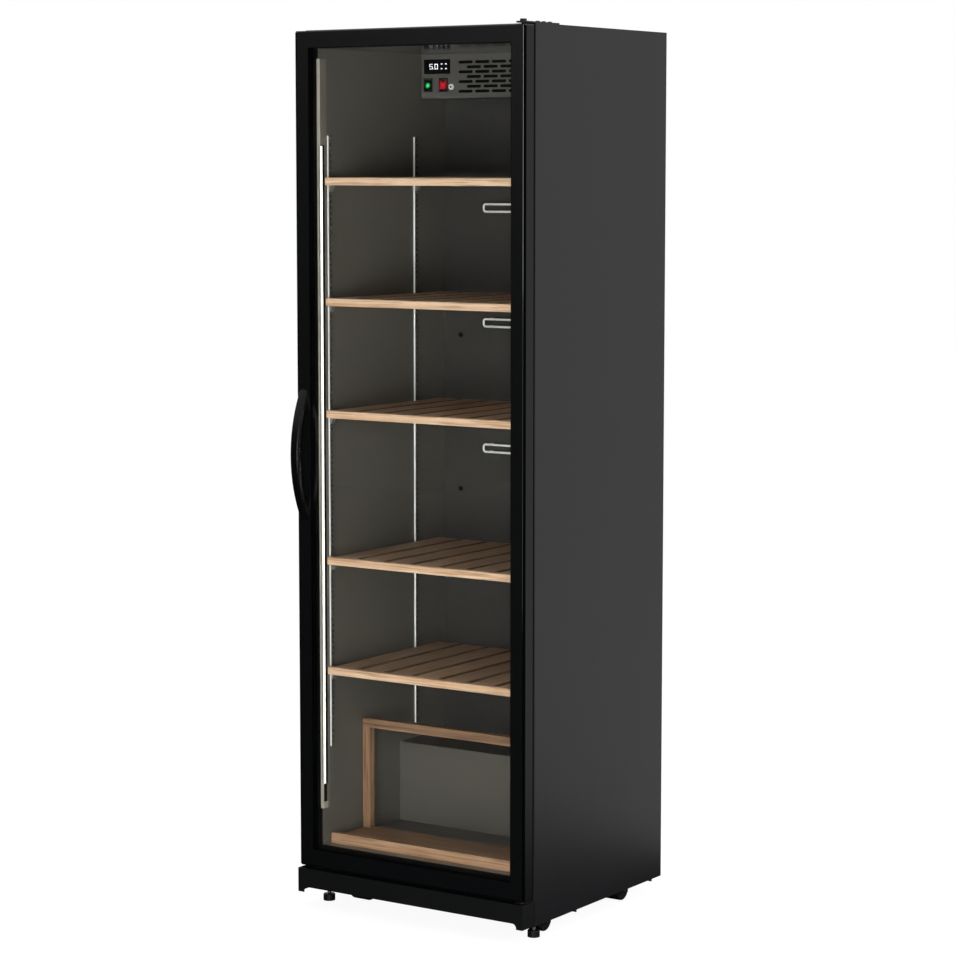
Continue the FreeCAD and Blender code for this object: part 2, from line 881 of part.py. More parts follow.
def transport_rollers():
    """Four rollers on axles in folded brackets under the base pan."""
    axle_height = d.roller_radius
    ear_inner = d.roller_width / 2 + d.roller_side_play
    ear_outer = ear_inner + d.ear_thickness
    plate_low = pan_low - d.ear_thickness
    brackets, axles = [], []
    rows = (
        ("front", body_front + d.roller_front_setback, d.roller_front_clear),
        ("rear", body_back - d.roller_rear_inset, ZERO),
    )
    for row, centre_y, lift in rows:
        for side, hand in zip(SIDES, ("left", "right")):
            centre_x = (half_width - d.roller_bracket_inset) * side + d.roller_width / 2
            centre_z = axle_height + lift

            wheel = new_body(f"roller_{row}_{hand}")
            disc = sketch_at(wheel, "YZ", centre_x - d.roller_width / 2)
            circle(disc, centre_y, centre_z, d.roller_radius)
            circle(disc, centre_y, centre_z, d.axle_radius + d.roller_play)
            pad(wheel, "YZ", disc, d.roller_width)
            rounded(wheel, d.roller_round,
                    lambda edge: isinstance(edge.Curve, Part.Circle)
                    and near(edge.Curve.Radius, d.roller_radius))
            node(wheel, f"roller_{row}_{hand}")

            bracket = new_body(f"bracket_{row}_{hand}")
            raised(bracket, "XY", plate_low, d.ear_thickness,
                   ((centre_x - ear_outer, centre_x + ear_outer),
                    (centre_y - d.roller_radius, centre_y + d.roller_plate_tail)))
            for start in (centre_x - ear_outer, centre_x + ear_inner):
                raised(bracket, "YZ", start, d.ear_thickness,
                       ((centre_y - d.ear_half_length, centre_y + d.ear_half_length),
                        (centre_z - d.ear_margin, plate_low)))
            raised(bracket, "XZ", centre_y + d.roller_plate_tail - d.ear_thickness, d.ear_thickness,
                   ((centre_x - ear_outer, centre_x + ear_outer + d.roller_tab_reach),
                    (pan_low - d.roller_tab_drop, plate_low)))
            bored(bracket, "YZ", centre_x - ear_outer, ear_outer * 2,
                  [(centre_y, centre_z, d.axle_radius + d.axle_seat_play)])
            brackets.append(bracket)
            axles.append(rod(f"axle_{row}_{hand}", "x",
                             (centre_x - ear_outer - d.axle_head, centre_y, centre_z),
                             d.axle_radius, (ear_outer + d.axle_head) * 2))
    node(together("roller_brackets", brackets), "roller_brackets")
    node(together("roller_axles", axles), "roller_axles")


def hinge_fittings():
    """Top hinge plate and bottom hinge bracket, each with its pivot pin."""
    across = (pivot_x - d.hinge_half_width, pivot_x + d.hinge_half_width)
    plate = new_body("hinge_plate_top")
    raised(plate, "XY", body_top, d.hinge_thickness,
           (across, (pivot_y - d.hinge_half_width, body_front + d.hinge_tail)))
    rounded(plate, d.hinge_round,
            lambda edge: runs_along(edge, "z") and near(middle(edge).y, pivot_y - d.hinge_half_width))
    pin_low = door_top - d.pin_reach
    pin = sketch_at(plate, "XY", pin_low)
    circle(pin, pivot_x, pivot_y, d.pin_radius)
    pad(plate, "XY", pin, body_top - pin_low)
    head = sketch_at(plate, "XY", body_top + d.hinge_thickness)
    circle(head, pivot_x, pivot_y, d.pin_head_radius)
    pad(plate, "XY", head, d.pin_head_height)
    bored(plate, "XY", body_top, d.hinge_thickness, [(x, y, screw_hole) for x, y in top_screws])
    node(plate, "hinge_plate_top")

    bracket = new_body("hinge_bracket_bottom")
    raised(bracket, "XY", bracket_plate_low, d.hinge_thickness,
           (across, (pivot_y - d.hinge_half_width, body_front)))
    rounded(bracket, d.hinge_round,
            lambda edge: runs_along(edge, "z") and near(middle(edge).y, pivot_y - d.hinge_half_width))
    raised(bracket, "XZ", body_front - d.hinge_thickness, d.hinge_thickness,
           (across, (bracket_plate_high - d.bracket_drop, bracket_plate_low)))
    bored(bracket, "XZ", body_front - d.hinge_thickness, d.hinge_thickness,
          [(x, z, screw_hole) for x, z in bracket_screws])
    pin = sketch_at(bracket, "XY", bracket_plate_high)
    circle(pin, pivot_x, pivot_y, d.pin_radius)
    pad(bracket, "XY", pin, d.bracket_gap + d.pin_reach)
    node(bracket, "hinge_bracket_bottom")


# Sight opening and rebate of the door frame
sight_half = door_half - d.stile_width
sight_low = door_low + d.bottom_rail_width
sight_high = door_top - d.top_rail_width
rebate_half = sight_half + d.rebate_width
rebate_low = sight_low - d.rebate_width
rebate_high = sight_high + d.rebate_width
glass_front = door_front + d.lip_depth
glass_depth = d.glass_thickness * 2 + d.glass_cavity
glass_back = glass_front + glass_depth
pane_half = rebate_half - d.glass_play
pane_low = rebate_low + d.glass_play
pane_high = rebate_high - d.glass_play


def frame_member(name, corners, rebate, chamber, plane, start, length, is_front_edge):
    """Mitred hollow profile with a rebate for the glass behind its front lip."""
    member = new_body(name)
    extruded(member, "XZ", door_front, d.door_thickness, corners)
    sunk(member, plane, start, length, rebate)
    sunk(member, plane, start, length, chamber)
    rounded(member, d.frame_edge_radius, is_front_edge)
    return member


def door_frame():
    """Four mitred members: two stiles and two rails."""
    wall = d.frame_wall
    deep = (glass_front, door_back)
    hollow = (door_front + wall, door_back - wall)
    stiles = []
    for side in SIDES:
        outer, sight, rebate = door_half * side, sight_half * side, rebate_half * side
        chamber = sorted((outer - wall * side, rebate + wall * side), key=lambda size: size.value)
        stiles.append(frame_member(
            "door_stile",
            [(outer, door_low), (outer, door_top), (sight, sight_high), (sight, sight_low)],
            (sorted((sight, rebate), key=lambda size: size.value), deep), (chamber, hollow),
            "XY", door_low, door_height,
            lambda edge: runs_along(edge, "z") and near(middle(edge).x, outer)
            and near(middle(edge).y, door_front)))
    node(together("door_stiles", stiles), "door_stiles")

    rails = []
    for outer, sight, rebate, side in (
        (door_top, sight_high, rebate_high, 1), (door_low, sight_low, rebate_low, -1),
    ):
        chamber = sorted((outer - wall * side, rebate + wall * side), key=lambda size: size.value)
        rail = frame_member(
            "door_rail",
            [(-door_half, outer), (door_half, outer), (sight_half, sight), (-sight_half, sight)],
            (deep, sorted((sight, rebate), key=lambda size: size.value)), (hollow, chamber),
            "YZ", -door_half, door_half * 2,
            lambda edge: runs_along(edge, "x") and near(middle(edge).z, outer)
            and near(middle(edge).y, door_front))
        start = outer - wall if side > 0 else outer
        bored(rail, "XY", start, wall, [(pivot_x, pivot_y, d.pin_radius + d.pin_hole_play)])
        rails.append(rail)
    node(together("door_rails", rails), "door_rails")


def corner_keys():
    """Blocks inside the mitred corners; the two on the hinge side carry the pivot bores."""
    play = d.frame_wall + d.key_play
    inner_play = d.frame_wall + d.key_inner_play
    keys = []
    for side in SIDES:
        for outer, rebate, level in ((door_top, rebate_high, 1), (door_low, rebate_low, -1)):
            key = new_body("corner_key")
            far_x, near_x = (door_half - play) * side, (rebate_half + inner_play) * side
            far_z, near_z = outer - play * level, rebate + inner_play * level
            tip_x = (door_half - d.key_leg) * side
            tip_z = outer - d.key_leg * level
            extruded(key, "XZ", door_front + play, d.door_thickness - play * 2, [
                (far_x, far_z), (tip_x, far_z), (tip_x, near_z),
                (near_x, near_z), (near_x, tip_z), (far_x, tip_z),
            ])
            if side > 0:
                start = far_z - d.key_leg if level > 0 else far_z
                bored(key, "XY", start, d.key_leg, [(pivot_x, pivot_y, d.pin_radius + d.pin_play)])
            keys.append(key)
    node(together("corner_keys", keys), "corner_keys")


def glazing():
    """Sealed double glass, the beads that hold it, and the door gasket."""
    across, up = (-pane_half, pane_half), (pane_low, pane_high)
    inner_pane = glass_back - d.glass_thickness
    node(together("glass_panes", [
        block("glass_outer", across, (glass_front, glass_front + d.glass_thickness), up),
        block("glass_inner", across, (inner_pane, glass_back), up),
    ]), "glass_panes")

    sight_x, sight_z = (-sight_half, sight_half), (sight_low, sight_high)
    cavity = (glass_front + d.glass_thickness, inner_pane)
    node(ring_of_bars("glass_spacer", across, up, sight_x, sight_z, cavity), "glass_spacer")

    rebate_x, rebate_z = (-rebate_half, rebate_half), (rebate_low, rebate_high)
    node(ring_of_bars("glazing_beads", rebate_x, rebate_z, sight_x, sight_z, (glass_back, door_back)),
         "glazing_beads")

    seal_x = (d.gasket_inset - door_half, door_half - d.gasket_inset)
    seal_z = (door_low + d.gasket_inset / 2, door_top - d.gasket_inset / 2)
    inside_x, inside_z = grown(seal_x, -d.gasket_width), grown(seal_z, -d.gasket_width)
    node(ring_of_bars("door_gasket", seal_x, seal_z, inside_x, inside_z, (door_back, body_front)),
         "door_gasket")


def bow_radius(rise, chord):
    """Radius of an arc from its rise over a chord."""
    return (rise * rise + chord * chord / 4) / (rise * 2)


def handle():
    """Bow handle: a crescent between two arcs, standing on the left stile."""
    mid = (door_low + door_top) / 2
    low, high = centred(mid, d.handle_length)
    left = -door_half + d.handle_inset
    body = new_body("handle")
    sketch = sketch_at(body, "YZ", left)
    inner_low, inner_high = low + d.handle_foot, high - d.handle_foot
    inner_rise = d.handle_reach - d.handle_bar
    bows = []
    for bottom, top, rise in ((low, high, d.handle_reach), (inner_low, inner_high, inner_rise)):
        arc = Part.Arc(point(door_front, top), point(door_front - rise, mid), point(door_front, bottom))
        curve = sketch.addGeometry(arc, False)
        hold_point(sketch, curve, 1, door_front, top)
        hold_point(sketch, curve, 2, door_front, bottom)
        hold_radius(sketch, curve, bow_radius(rise, top - bottom))
        bows.append(curve)
    outer, inner = bows
    for end, outer_z, inner_z in ((1, high, inner_high), (2, low, inner_low)):
        line = sketch.addGeometry(
            Part.LineSegment(point(door_front, outer_z), point(door_front, inner_z)), False)
        sketch.addConstraint(Sketcher.Constraint("Coincident", line, 1, outer, end))
        sketch.addConstraint(Sketcher.Constraint("Coincident", line, 2, inner, end))
    pad(body, "YZ", sketch, d.handle_width)
    rounded(body, d.handle_round, lambda edge: isinstance(edge.Curve, Part.Circle))
    node(body, "handle")


pilaster_front = body_front + d.pilaster_front
pilaster_rear = inner_back - d.pilaster_rear_inset
pilaster_z = (step_top + d.pilaster_rise, inner_top - d.pilaster_drop)
shelf_shares = [getattr(d, f"shelf_share_{number}") for number in range(1, SHELVES + 1)]
shelf_middles = [inner_floor + room_height * share for share in shelf_shares]


def shelf_supports():
    """Slotted uprights on the side walls and the clips that the shelves lie on."""
    strips, clips = [], []
    places = [(side, start_y) for side in SIDES for start_y in (pilaster_front, pilaster_rear)]
    for side, start_y in places:
        strip = new_body("pilaster")
        low_x = inner_half - d.pilaster_thickness if side > 0 else -inner_half
        raised(strip, "YZ", low_x, d.pilaster_thickness,
               ((start_y, start_y + d.pilaster_width), pilaster_z))
        middle_y = start_y + d.pilaster_width / 2
        first = pilaster_z[0] + d.pilaster_slot_pitch / 2
        slot_cut = sunk(strip, "YZ", low_x, d.pilaster_thickness,
                        ((middle_y - d.pilaster_slot_width / 2, middle_y + d.pilaster_slot_width / 2),
                         (first, first + d.pilaster_slot_height)))
        doc.recompute()
        pattern = strip.newObject("PartDesign::LinearPattern", "SlotRow")
        pattern.Originals = [slot_cut]
        pattern.Direction = (slot_cut.Profile[0], ["V_Axis"])
        run = pilaster_z[1] - pilaster_z[0] - d.pilaster_slot_pitch
        steps = int(run.value // d.pilaster_slot_pitch.value)
        pattern.Occurrences = steps + 1
        bind(pattern, "Length", d.pilaster_slot_pitch * steps)
        strip.Tip = pattern
        strips.append(strip)

        for middle_z in shelf_middles:
            clip = doc.addObject("Part::Wedge", "shelf_clip")
            clip.Placement = Placement(Vector(), Rotation(Vector(1, 0, 0), -90))
            toes = {"Xmin": ZERO, "Xmax": d.clip_reach, "X2min": ZERO, "X2max": d.clip_toe}
            if side > 0:
                toes = {"Xmin": -d.clip_reach, "Xmax": ZERO, "X2min": -d.clip_toe, "X2max": ZERO}
            depth = {"Ymin": ZERO, "Ymax": d.clip_height}
            span = {"Zmin": ZERO, "Zmax": d.clip_width, "Z2min": ZERO, "Z2max": d.clip_width}
            for name, size in {**toes, **depth, **span}.items():
                bind(clip, name, size)
            bind(clip, "Placement.Base.x", (inner_half - d.pilaster_thickness) * side)
            bind(clip, "Placement.Base.y", middle_y - d.clip_width / 2)
            bind(clip, "Placement.Base.z", middle_z - d.shelf_thickness / 2)
            clips.append(clip)
    node(together("pilasters", strips), "pilasters")
    node(together("shelf_clips", clips), "shelf_clips")


def shelves():
    """Slatted wooden shelves: a front rail, slats front to back and three bearers below them."""
    rail_half = inner_half - d.shelf_end_play
    bearer_half = inner_half - d.pilaster_thickness - d.bearer_end_play
    rail_front = body_front + d.shelf_front
    deck_front = rail_front + d.shelf_rail_depth
    deck_back = inner_back - d.shelf_back_gap
    deck_half = rail_half - d.slat_edge
    pitch = (deck_half * 2 + d.slat_gap) / SLATS
    slat_width = pitch - d.slat_gap
    front_bearer = deck_front
    rear_bearer = pilaster_rear
    middle_bearer = (front_bearer + rear_bearer) / 2
    middle_z = shelf_middles[0]
    low, high = centred(middle_z, d.shelf_thickness)
    slat_low = high - d.slat_thickness

    rail = new_body("front_rail")
    raised(rail, "XY", low, d.shelf_thickness, ((-rail_half, rail_half), (rail_front, deck_front)))
    rounded(rail, d.shelf_edge_round,
            lambda edge: runs_along(edge, "x") and near(middle(edge).y, rail_front))
    boards = [rail]
    for start in (front_bearer, middle_bearer, rear_bearer):
        boards.append(block("bearer", (-bearer_half, bearer_half),
                            (start, start + d.bearer_depth), (low, slat_low)))
    for index in range(SLATS):
        x = pitch * index - deck_half
        slat = new_body("slat")
        raised(slat, "XY", slat_low, d.slat_thickness, ((x, x + slat_width), (deck_front, deck_back)))
        rounded(slat, d.shelf_edge_round,
                lambda edge: runs_along(edge, "y") and near(middle(edge).z, high))
        boards.append(slat)
    first = node(together("shelf_1", boards), "shelf_1")
    for number, place in enumerate(shelf_middles[1:], start=2):
        copy = together(f"shelf_{number}", [first])
        bind(copy, "Placement.Base.z", place - middle_z)
        node(copy, f"shelf_{number}")


def display_rack():
    """Low tray for leaning bottles, with a rail on two posts behind it."""
    half = inner_half - d.rack_end_play
    front = body_front + d.rack_front
    board_back = front + d.rack_board_depth
    board_high = inner_floor + d.rack_board_thickness
    tray = new_body("rack_tray")
    extruded(tray, "YZ", -half, half * 2, [
        (front, inner_floor), (board_back, inner_floor), (board_back, board_high),
        (front + d.rack_lip_thickness, board_high),
        (front + d.rack_lip_thickness, inner_floor + d.rack_lip_height),
        (front, inner_floor + d.rack_lip_height),
    ])
    node(tray, "rack_tray")

    depth = (board_back - d.rack_post_depth, board_back)
    rail_high = inner_floor + d.rack_height
    rail_low = rail_high - d.rack_rail_height
    boards = [block("rack_rail", (-half, half), depth, (rail_low, rail_high))]
    for side in SIDES:
        x = sorted((half * side, (half - d.rack_post_width) * side), key=lambda size: size.value)
        boards.append(block("rack_post", x, depth, (board_high, rail_low)))
    node(together("rack_frame", boards), "rack_frame")


def lamp():
    """Light strip on the front edge of the left wall, with a lit lens that fills its corner."""
    front = body_front - d.lamp_forward
    back = body_front + d.lamp_depth
    face = -inner_half + d.lamp_thickness
    edge = -inner_half - d.lamp_flange
    low, high = inner_floor + d.lamp_rise, inner_top - d.lamp_drop
    lens_low, lens_high = low + d.lens_rise, high - d.lens_drop
    corner = [(face - d.lens_width, front), (face, front), (face, front + d.lens_depth)]

    profile = new_body("led_profile")
    extruded(profile, "XY", low, high - low, [
        (edge, front), (face, front), (face, back), (-inner_half, back),
        (-inner_half, body_front), (edge, body_front),
    ])
    notch = sketch_at(profile, "XY", lens_low)
    outline(notch, corner)
    pocket(profile, "XY", notch, lens_high - lens_low)
    node(profile, "led_profile")

    lens = new_body("led_lens")
    extruded(lens, "XY", lens_low, lens_high - lens_low, corner)
    node(lens, "led_lens")


# Places on the fascia, measured from its left end and its top
fascia_left = -inner_half + d.unit_play
fascia_top = inner_top - d.unit_play
display_x = (fascia_left + d.display_left, fascia_left + d.display_left + d.display_width)
display_z = (fascia_top - d.display_top - d.display_height, fascia_top - d.display_top)
switch_z = fascia_top - d.switch_top
switch_places = [fascia_left + d.switch_green, fascia_left + d.switch_red]
button_x = fascia_left + d.button_offset
button_z = fascia_top - d.button_top
fascia_length = -fascia_left * 2
slot_pitch = (fascia_length - d.slot_first - d.slot_last) / (SLOT_COLUMNS - 1)
fan_x = -fascia_left - d.fan_margin
fan_z = (unit_low + inner_top) / 2


def fascia():
    """Front plate of the cold unit with its vent slots and control cut-outs, and the tray below."""
    body = new_body("evaporator_fascia")
    raised(body, "XZ", unit_front, d.fascia_thickness,
           ((fascia_left, -fascia_left), (unit_low, fascia_top)))
    sleeve_x = d.switch_sleeve_width
    windows = [(grown(display_x, d.cutout_play), grown(display_z, d.cutout_play))]
    for place in switch_places:
        windows.append((grown(centred(place, sleeve_x), d.cutout_play),
                        grown(centred(switch_z, d.switch_sleeve_height), d.cutout_play)))
    sunk(body, "XZ", unit_front, d.fascia_thickness, *windows)
    bored(body, "XZ", unit_front, d.fascia_thickness,
          [(button_x, button_z, d.button_radius + d.button_play)])
    for offset, columns, rows in ((0, SLOT_COLUMNS, SLOT_ROWS), (1, SLOT_COLUMNS - 1, SLOT_ROWS - 1)):
        sketch = sketch_at(body, "XZ", unit_front)
        slot(sketch, fascia_left + d.slot_first + slot_pitch * (offset / 2),
             fascia_top - d.slot_top - d.slot_row_pitch * offset, slot_pitch - d.slot_web, d.slot_height)
        one = pocket(body, "XZ", sketch, d.fascia_thickness)
        doc.recompute()
        grid = body.newObject("PartDesign::MultiTransform", "SlotGrid")
        grid.Originals = [one]
        steps = []
        for axis, count, spacing in (("H_Axis", columns, slot_pitch), ("V_Axis", rows, d.slot_row_pitch * 2)):
            line = body.newObject("PartDesign::LinearPattern", "SlotLine")
            line.Direction = (sketch, [axis])
            line.Reversed = axis == "V_Axis"
            line.Occurrences = count
            bind(line, "Length", spacing * (count - 1))
            steps.append(line)
        grid.Transformations = steps
        body.Tip = grid
        doc.recompute()
    node(body, "evaporator_fascia")

    node(block("evaporator_tray", (fascia_left, -fascia_left), (unit_back, inner_back),
               (unit_low, unit_low + d.fascia_thickness)), "evaporator_tray")


def controls():
    """Display, two rocker switches in their bezels, and a push button in its sleeve."""
    node(block("display_module", display_x,
               (unit_front - d.display_proud, unit_front + d.display_depth), display_z), "display_module")

    bezels = []
    pivot_depth = unit_front + d.rocker_pivot_depth
    for place in switch_places:
        bezel = new_body("switch_bezel")
        mouth = (centred(place, d.switch_mouth_width), centred(switch_z, d.switch_mouth_height))
        raised(bezel, "XZ", unit_front - d.switch_flange_proud, d.switch_flange_proud,
               (centred(place, d.switch_flange_width), centred(switch_z, d.switch_flange_height)), mouth)
        raised(bezel, "XZ", unit_front, d.switch_sleeve_depth,
               (centred(place, d.switch_sleeve_width), centred(switch_z, d.switch_sleeve_height)), mouth)
        bored(bezel, "YZ", place - d.switch_sleeve_width / 2, d.switch_sleeve_width,
              [(pivot_depth, switch_z, d.rocker_pin_radius + d.rocker_pin_play)])
        bezels.append(bezel)
    sleeve = new_body("button_sleeve")
    flange_radius = d.button_radius + d.button_flange
    bore = flange_radius + d.button_play
    ring = sketch_at(sleeve, "XZ", unit_back)
    circle(ring, button_x, button_z, bore + d.button_sleeve_wall)
    circle(ring, button_x, button_z, bore)
    pad(sleeve, "XZ", ring, d.button_sleeve_depth)
    bezels.append(sleeve)
    node(together("switch_bezels", bezels), "switch_bezels")

    for place, label in zip(switch_places, ("rocker_green", "rocker_red")):
        rocker = new_body(label)
        rocker_width = d.switch_mouth_width - d.rocker_side_play * 2
        extruded(rocker, "YZ", -rocker_width / 2, rocker_width, [
            (-d.rocker_nose, d.rocker_half_height), (-d.rocker_valley, ZERO),
            (-d.rocker_nose, -d.rocker_half_height), (d.rocker_back, -d.rocker_heel),
            (d.rocker_back, d.rocker_heel),
        ])
        pin_half = rocker_width / 2 + d.rocker_pin_reach
        pin = sketch_at(rocker, "YZ", -pin_half)
        circle(pin, ZERO, ZERO, d.rocker_pin_radius)
        pad(rocker, "YZ", pin, pin_half * 2)
        rocker.Placement = Placement(Vector(), Rotation(Vector(1, 0, 0), -d.rocker_tilt.value))
        bind(rocker, "Placement.Base.x", place)
        bind(rocker, "Placement.Base.y", pivot_depth)
        bind(rocker, "Placement.Base.z", switch_z)
        node(rocker, label)

    button = new_body("push_button")
    cap = sketch_at(button, "XZ", unit_front - d.button_proud)
    circle(cap, button_x, button_z, d.button_radius)
    pad(button, "XZ", cap, d.button_proud + d.button_depth)
    collar = sketch_at(button, "XZ", unit_back + d.button_play)
    circle(collar, button_x, button_z, flange_radius)
    pad(button, "XZ", collar, d.button_flange_depth)
    rounded(button, d.button_flange,
            lambda edge: isinstance(edge.Curve, Part.Circle)
            and near(middle(edge).y, unit_front - d.button_proud))
    node(button, "push_button")


def evaporator():
    """Finned coil behind the fascia and the fan that blows through the slots."""
    fin_y = (inner_back - d.coil_back_play - d.coil_depth, inner_back - d.coil_back_play)
    coil_low = unit_low + d.fascia_thickness
    fin_z = (coil_low, coil_low + d.coil_height)
    left = fascia_left + d.coil_left_margin
    coil_length = fascia_length - d.coil_left_margin - d.coil_right_margin
    coil = new_body("evaporator_coil")
    first_fin = raised(coil, "YZ", left, d.coil_fin, (fin_y, fin_z))
    doc.recompute()
    fins = coil.newObject("PartDesign::LinearPattern", "FinRow")
    fins.Originals = [first_fin]
    fins.Direction = (first_fin.Profile[0], ["N_Axis"])
    count = int((coil_length - d.coil_fin).value // d.coil_fin_pitch.value)
    fins.Occurrences = count + 1
    bind(fins, "Length", d.coil_fin_pitch * count)
    coil.Tip = fins
    raised(coil, "YZ", left, d.coil_fin_pitch * count + d.coil_fin,
           (grown(fin_y, -d.coil_fin_reach), grown(fin_z, -d.coil_fin_reach)))
    node(coil, "evaporator_coil")

    frame_back = unit_back + d.fan_frame_depth
    wall_front = frame_back - d.fan_back_wall
    frame = new_body("fan_frame")
    ring = sketch_at(frame, "XZ", unit_back)
    rectangle(ring, centred(fan_x, d.fan_frame_size), centred(fan_z, d.fan_frame_size))
    circle(ring, fan_x, fan_z, d.fan_mouth_radius)
    pad(frame, "XZ", ring, d.fan_frame_depth)
    raised(frame, "XZ", wall_front, d.fan_back_wall,
           (centred(fan_x, d.fan_frame_size), centred(fan_z, d.fan_spoke_width)))
    raised(frame, "XZ", wall_front, d.fan_back_wall,
           (centred(fan_x, d.fan_spoke_width), centred(fan_z, d.fan_frame_size)))
    motor = sketch_at(frame, "XZ", wall_front)
    circle(motor, fan_x, fan_z, d.fan_hub_radius)
    pad(frame, "XZ", motor, d.fan_back_wall * 2)
    shaft = sketch_at(frame, "XZ", wall_front - d.fan_hub_gap - d.fan_hub_depth)
    circle(shaft, fan_x, fan_z, d.fan_shaft_radius)
    pad(frame, "XZ", shaft, d.fan_hub_gap + d.fan_hub_depth)
    node(frame, "fan_frame")
    fan_blade(wall_front - d.fan_hub_gap)


def fan_blade(hub_back):
    """Axial impeller: a hub bored for the shaft, with flat blades set at a pitch round it."""
    body = new_body("fan_blade")
    hub_front = hub_back - d.fan_hub_depth
    hub = sketch_at(body, "XZ", hub_front)
    circle(hub, fan_x, fan_z, d.fan_hub_radius)
    pad(body, "XZ", hub, d.fan_hub_depth)
    tip_radius = d.fan_mouth_radius - d.fan_tip_play
    vane = sketch_at(body, "XY", fan_z + d.fan_hub_radius / 2)
    centre_y = (hub_front + hub_back) / 2
    angle = math.radians(d.fan_blade_pitch.value)
    along, aside = d.fan_blade_chord / 2, d.fan_blade_thickness / 2
    corners = []
    for u, v in ((-along, -aside), (along, -aside), (along, aside), (-along, aside)):
        corners.append((fan_x + u * math.cos(angle) - v * math.sin(angle),
                        centre_y + u * math.sin(angle) + v * math.cos(angle)))
    outline(vane, corners)
    one = pad(body, "XY", vane, tip_radius - d.fan_hub_radius / 2 - d.fan_blade_thickness)
    doc.recompute()
    wheel = body.newObject("PartDesign::PolarPattern", "Vanes")
    wheel.Originals = [one]
    axis_sketch = body.newObject("Sketcher::SketchObject", "VaneAxis")
    axis_sketch.AttachmentSupport = hub.AttachmentSupport
    axis_sketch.MapMode = "FlatFace"
    bind(axis_sketch, "AttachmentOffset.Base.x", fan_x)
    bind(axis_sketch, "AttachmentOffset.Base.y", fan_z)
    wheel.Axis = (axis_sketch, ["N_Axis"])
    wheel.Angle = 360
    wheel.Occurrences = FAN_BLADES
    body.Tip = wheel
    bored(body, "XZ", hub_front, d.fan_hub_depth, [(fan_x, fan_z, d.fan_shaft_radius + d.fan_shaft_play)])
    node(body, "fan_blade")


def bend(name, axis, centre, turn, radius, wire, angle):
    """Return part of a ring of wire about an axis, from a start angle."""
    ring = doc.addObject("Part::Torus", name)
    ring.Placement = Placement(Vector(), TURN_TO[axis].multiply(Rotation(Vector(0, 0, 1), turn)))
    bind(ring, "Radius1", radius)
    bind(ring, "Radius2", wire)
    ring.Angle3 = angle
    for letter, place in zip("xyz", centre):
        bind(ring, f"Placement.Base.{letter}", place)
    return ring


def wire_guards():
    """Three bright wire loops that stand off the rear wall below the upper shelves."""
    half, corner, wire = inner_half - d.guard_side_margin, d.guard_corner, d.guard_wire
    plane_y = inner_back - d.guard_reach
    leg_x = half - d.guard_leg_inset
    straight_x = half - corner
    loops = []
    for middle_z, drop in zip(shelf_middles, (d.guard_drop, d.guard_drop, d.guard_last_drop)):
        low = middle_z - drop
        high = low + d.guard_height
        pieces = []
        for z in (low, high):
            pieces.append(rod("guard_rail", "x", (-straight_x, plane_y, z), wire, straight_x * 2))
            pieces += [rod("guard_leg", "y", (leg_x * side, plane_y, z), wire, d.guard_reach)
                       for side in SIDES]
        for side in SIDES:
            pieces.append(rod("guard_end", "z", (half * side, plane_y, low + corner), wire,
                              d.guard_height - corner * 2))
        turns = {(1, -1): 0, (-1, -1): 90, (-1, 1): 180, (1, 1): 270}
        for (side, level), turn in turns.items():
            z = high - corner if level > 0 else low + corner
            pieces.append(bend("guard_bend", "y", (straight_x * side, plane_y, z), turn, corner, wire, 90))
        loops.append(fused("wire_guard", pieces))
    node(together("wire_guards", loops), "wire_guards")


compressor_y = (bay_front + panel_back) / 2
plate_high = pan_high + d.mount_height + d.compressor_plate_thickness
discharge = (d.compressor_offset - d.discharge_offset, plate_high + d.discharge_height)
condenser_half = half_width - d.condenser_side_margin
condenser_z = (bay_top + d.condenser_rise, shell_top - d.condenser_drop)
wire_y = body_back + d.condenser_reach - d.condenser_wire
tube_y = wire_y - d.condenser_wire - d.condenser_tube - d.condenser_wire_gap


def compressor():
    """Welded compressor shell with its terminal box and pipe stubs, on four rubber mounts."""
    centre_x, centre_y = d.compressor_offset, compressor_y
    plate_low = plate_high - d.compressor_plate_thickness
    body = new_body("compressor")
    shell = sketch_at(body, "XY", plate_high)
    circle(shell, centre_x, centre_y, d.compressor_radius)
    pad(body, "XY", shell, d.compressor_height)
    rounded(body, d.compressor_dome,
            lambda edge: isinstance(edge.Curve, Part.Circle)
            and near(middle(edge).z, plate_high + d.compressor_height))
    seam_z = plate_high + d.compressor_height / 2
    seam = sketch_at(body, "XY", seam_z)
    circle(seam, centre_x, centre_y, d.compressor_radius + d.compressor_seam)
    pad(body, "XY", seam, d.compressor_seam_height)
    raised(body, "XY", plate_low, d.compressor_plate_thickness,
           (centred(centre_x, d.compressor_plate_length), centred(centre_y, d.compressor_plate_depth)))
    suction = sketch_at(body, "XY", seam_z)
    circle(suction, centre_x + d.suction_offset, centre_y, d.suction_radius)
    pad(body, "XY", suction, bay_top - seam_z)
    boss = sketch_at(body, "XZ", centre_y)
    circle(boss, *discharge, d.boss_radius)
    pad(body, "XZ", boss, d.boss_reach)
    cover_low = plate_high + d.terminal_low
    raised(body, "XZ", centre_y, d.terminal_reach,
           (centred(centre_x + d.terminal_offset, d.terminal_width), (cover_low, cover_low + d.terminal_height)))
    rounded(body, d.terminal_round, lambda edge: isinstance(edge.Curve, Part.Line)
            and near(middle(edge).y, centre_y + d.terminal_reach))
    node(body, "compressor")

    reach_x = d.compressor_plate_length / 2 - d.mount_edge
    reach_y = d.compressor_plate_depth / 2 - d.mount_edge
    mounts = [
        rod("compressor_mount", "z", (centre_x + reach_x * sx, centre_y + reach_y * sy, pan_high),
            d.mount_radius, d.mount_height)
        for sx in SIDES for sy in SIDES
    ]
    node(together("compressor_mounts", mounts), "compressor_mounts")


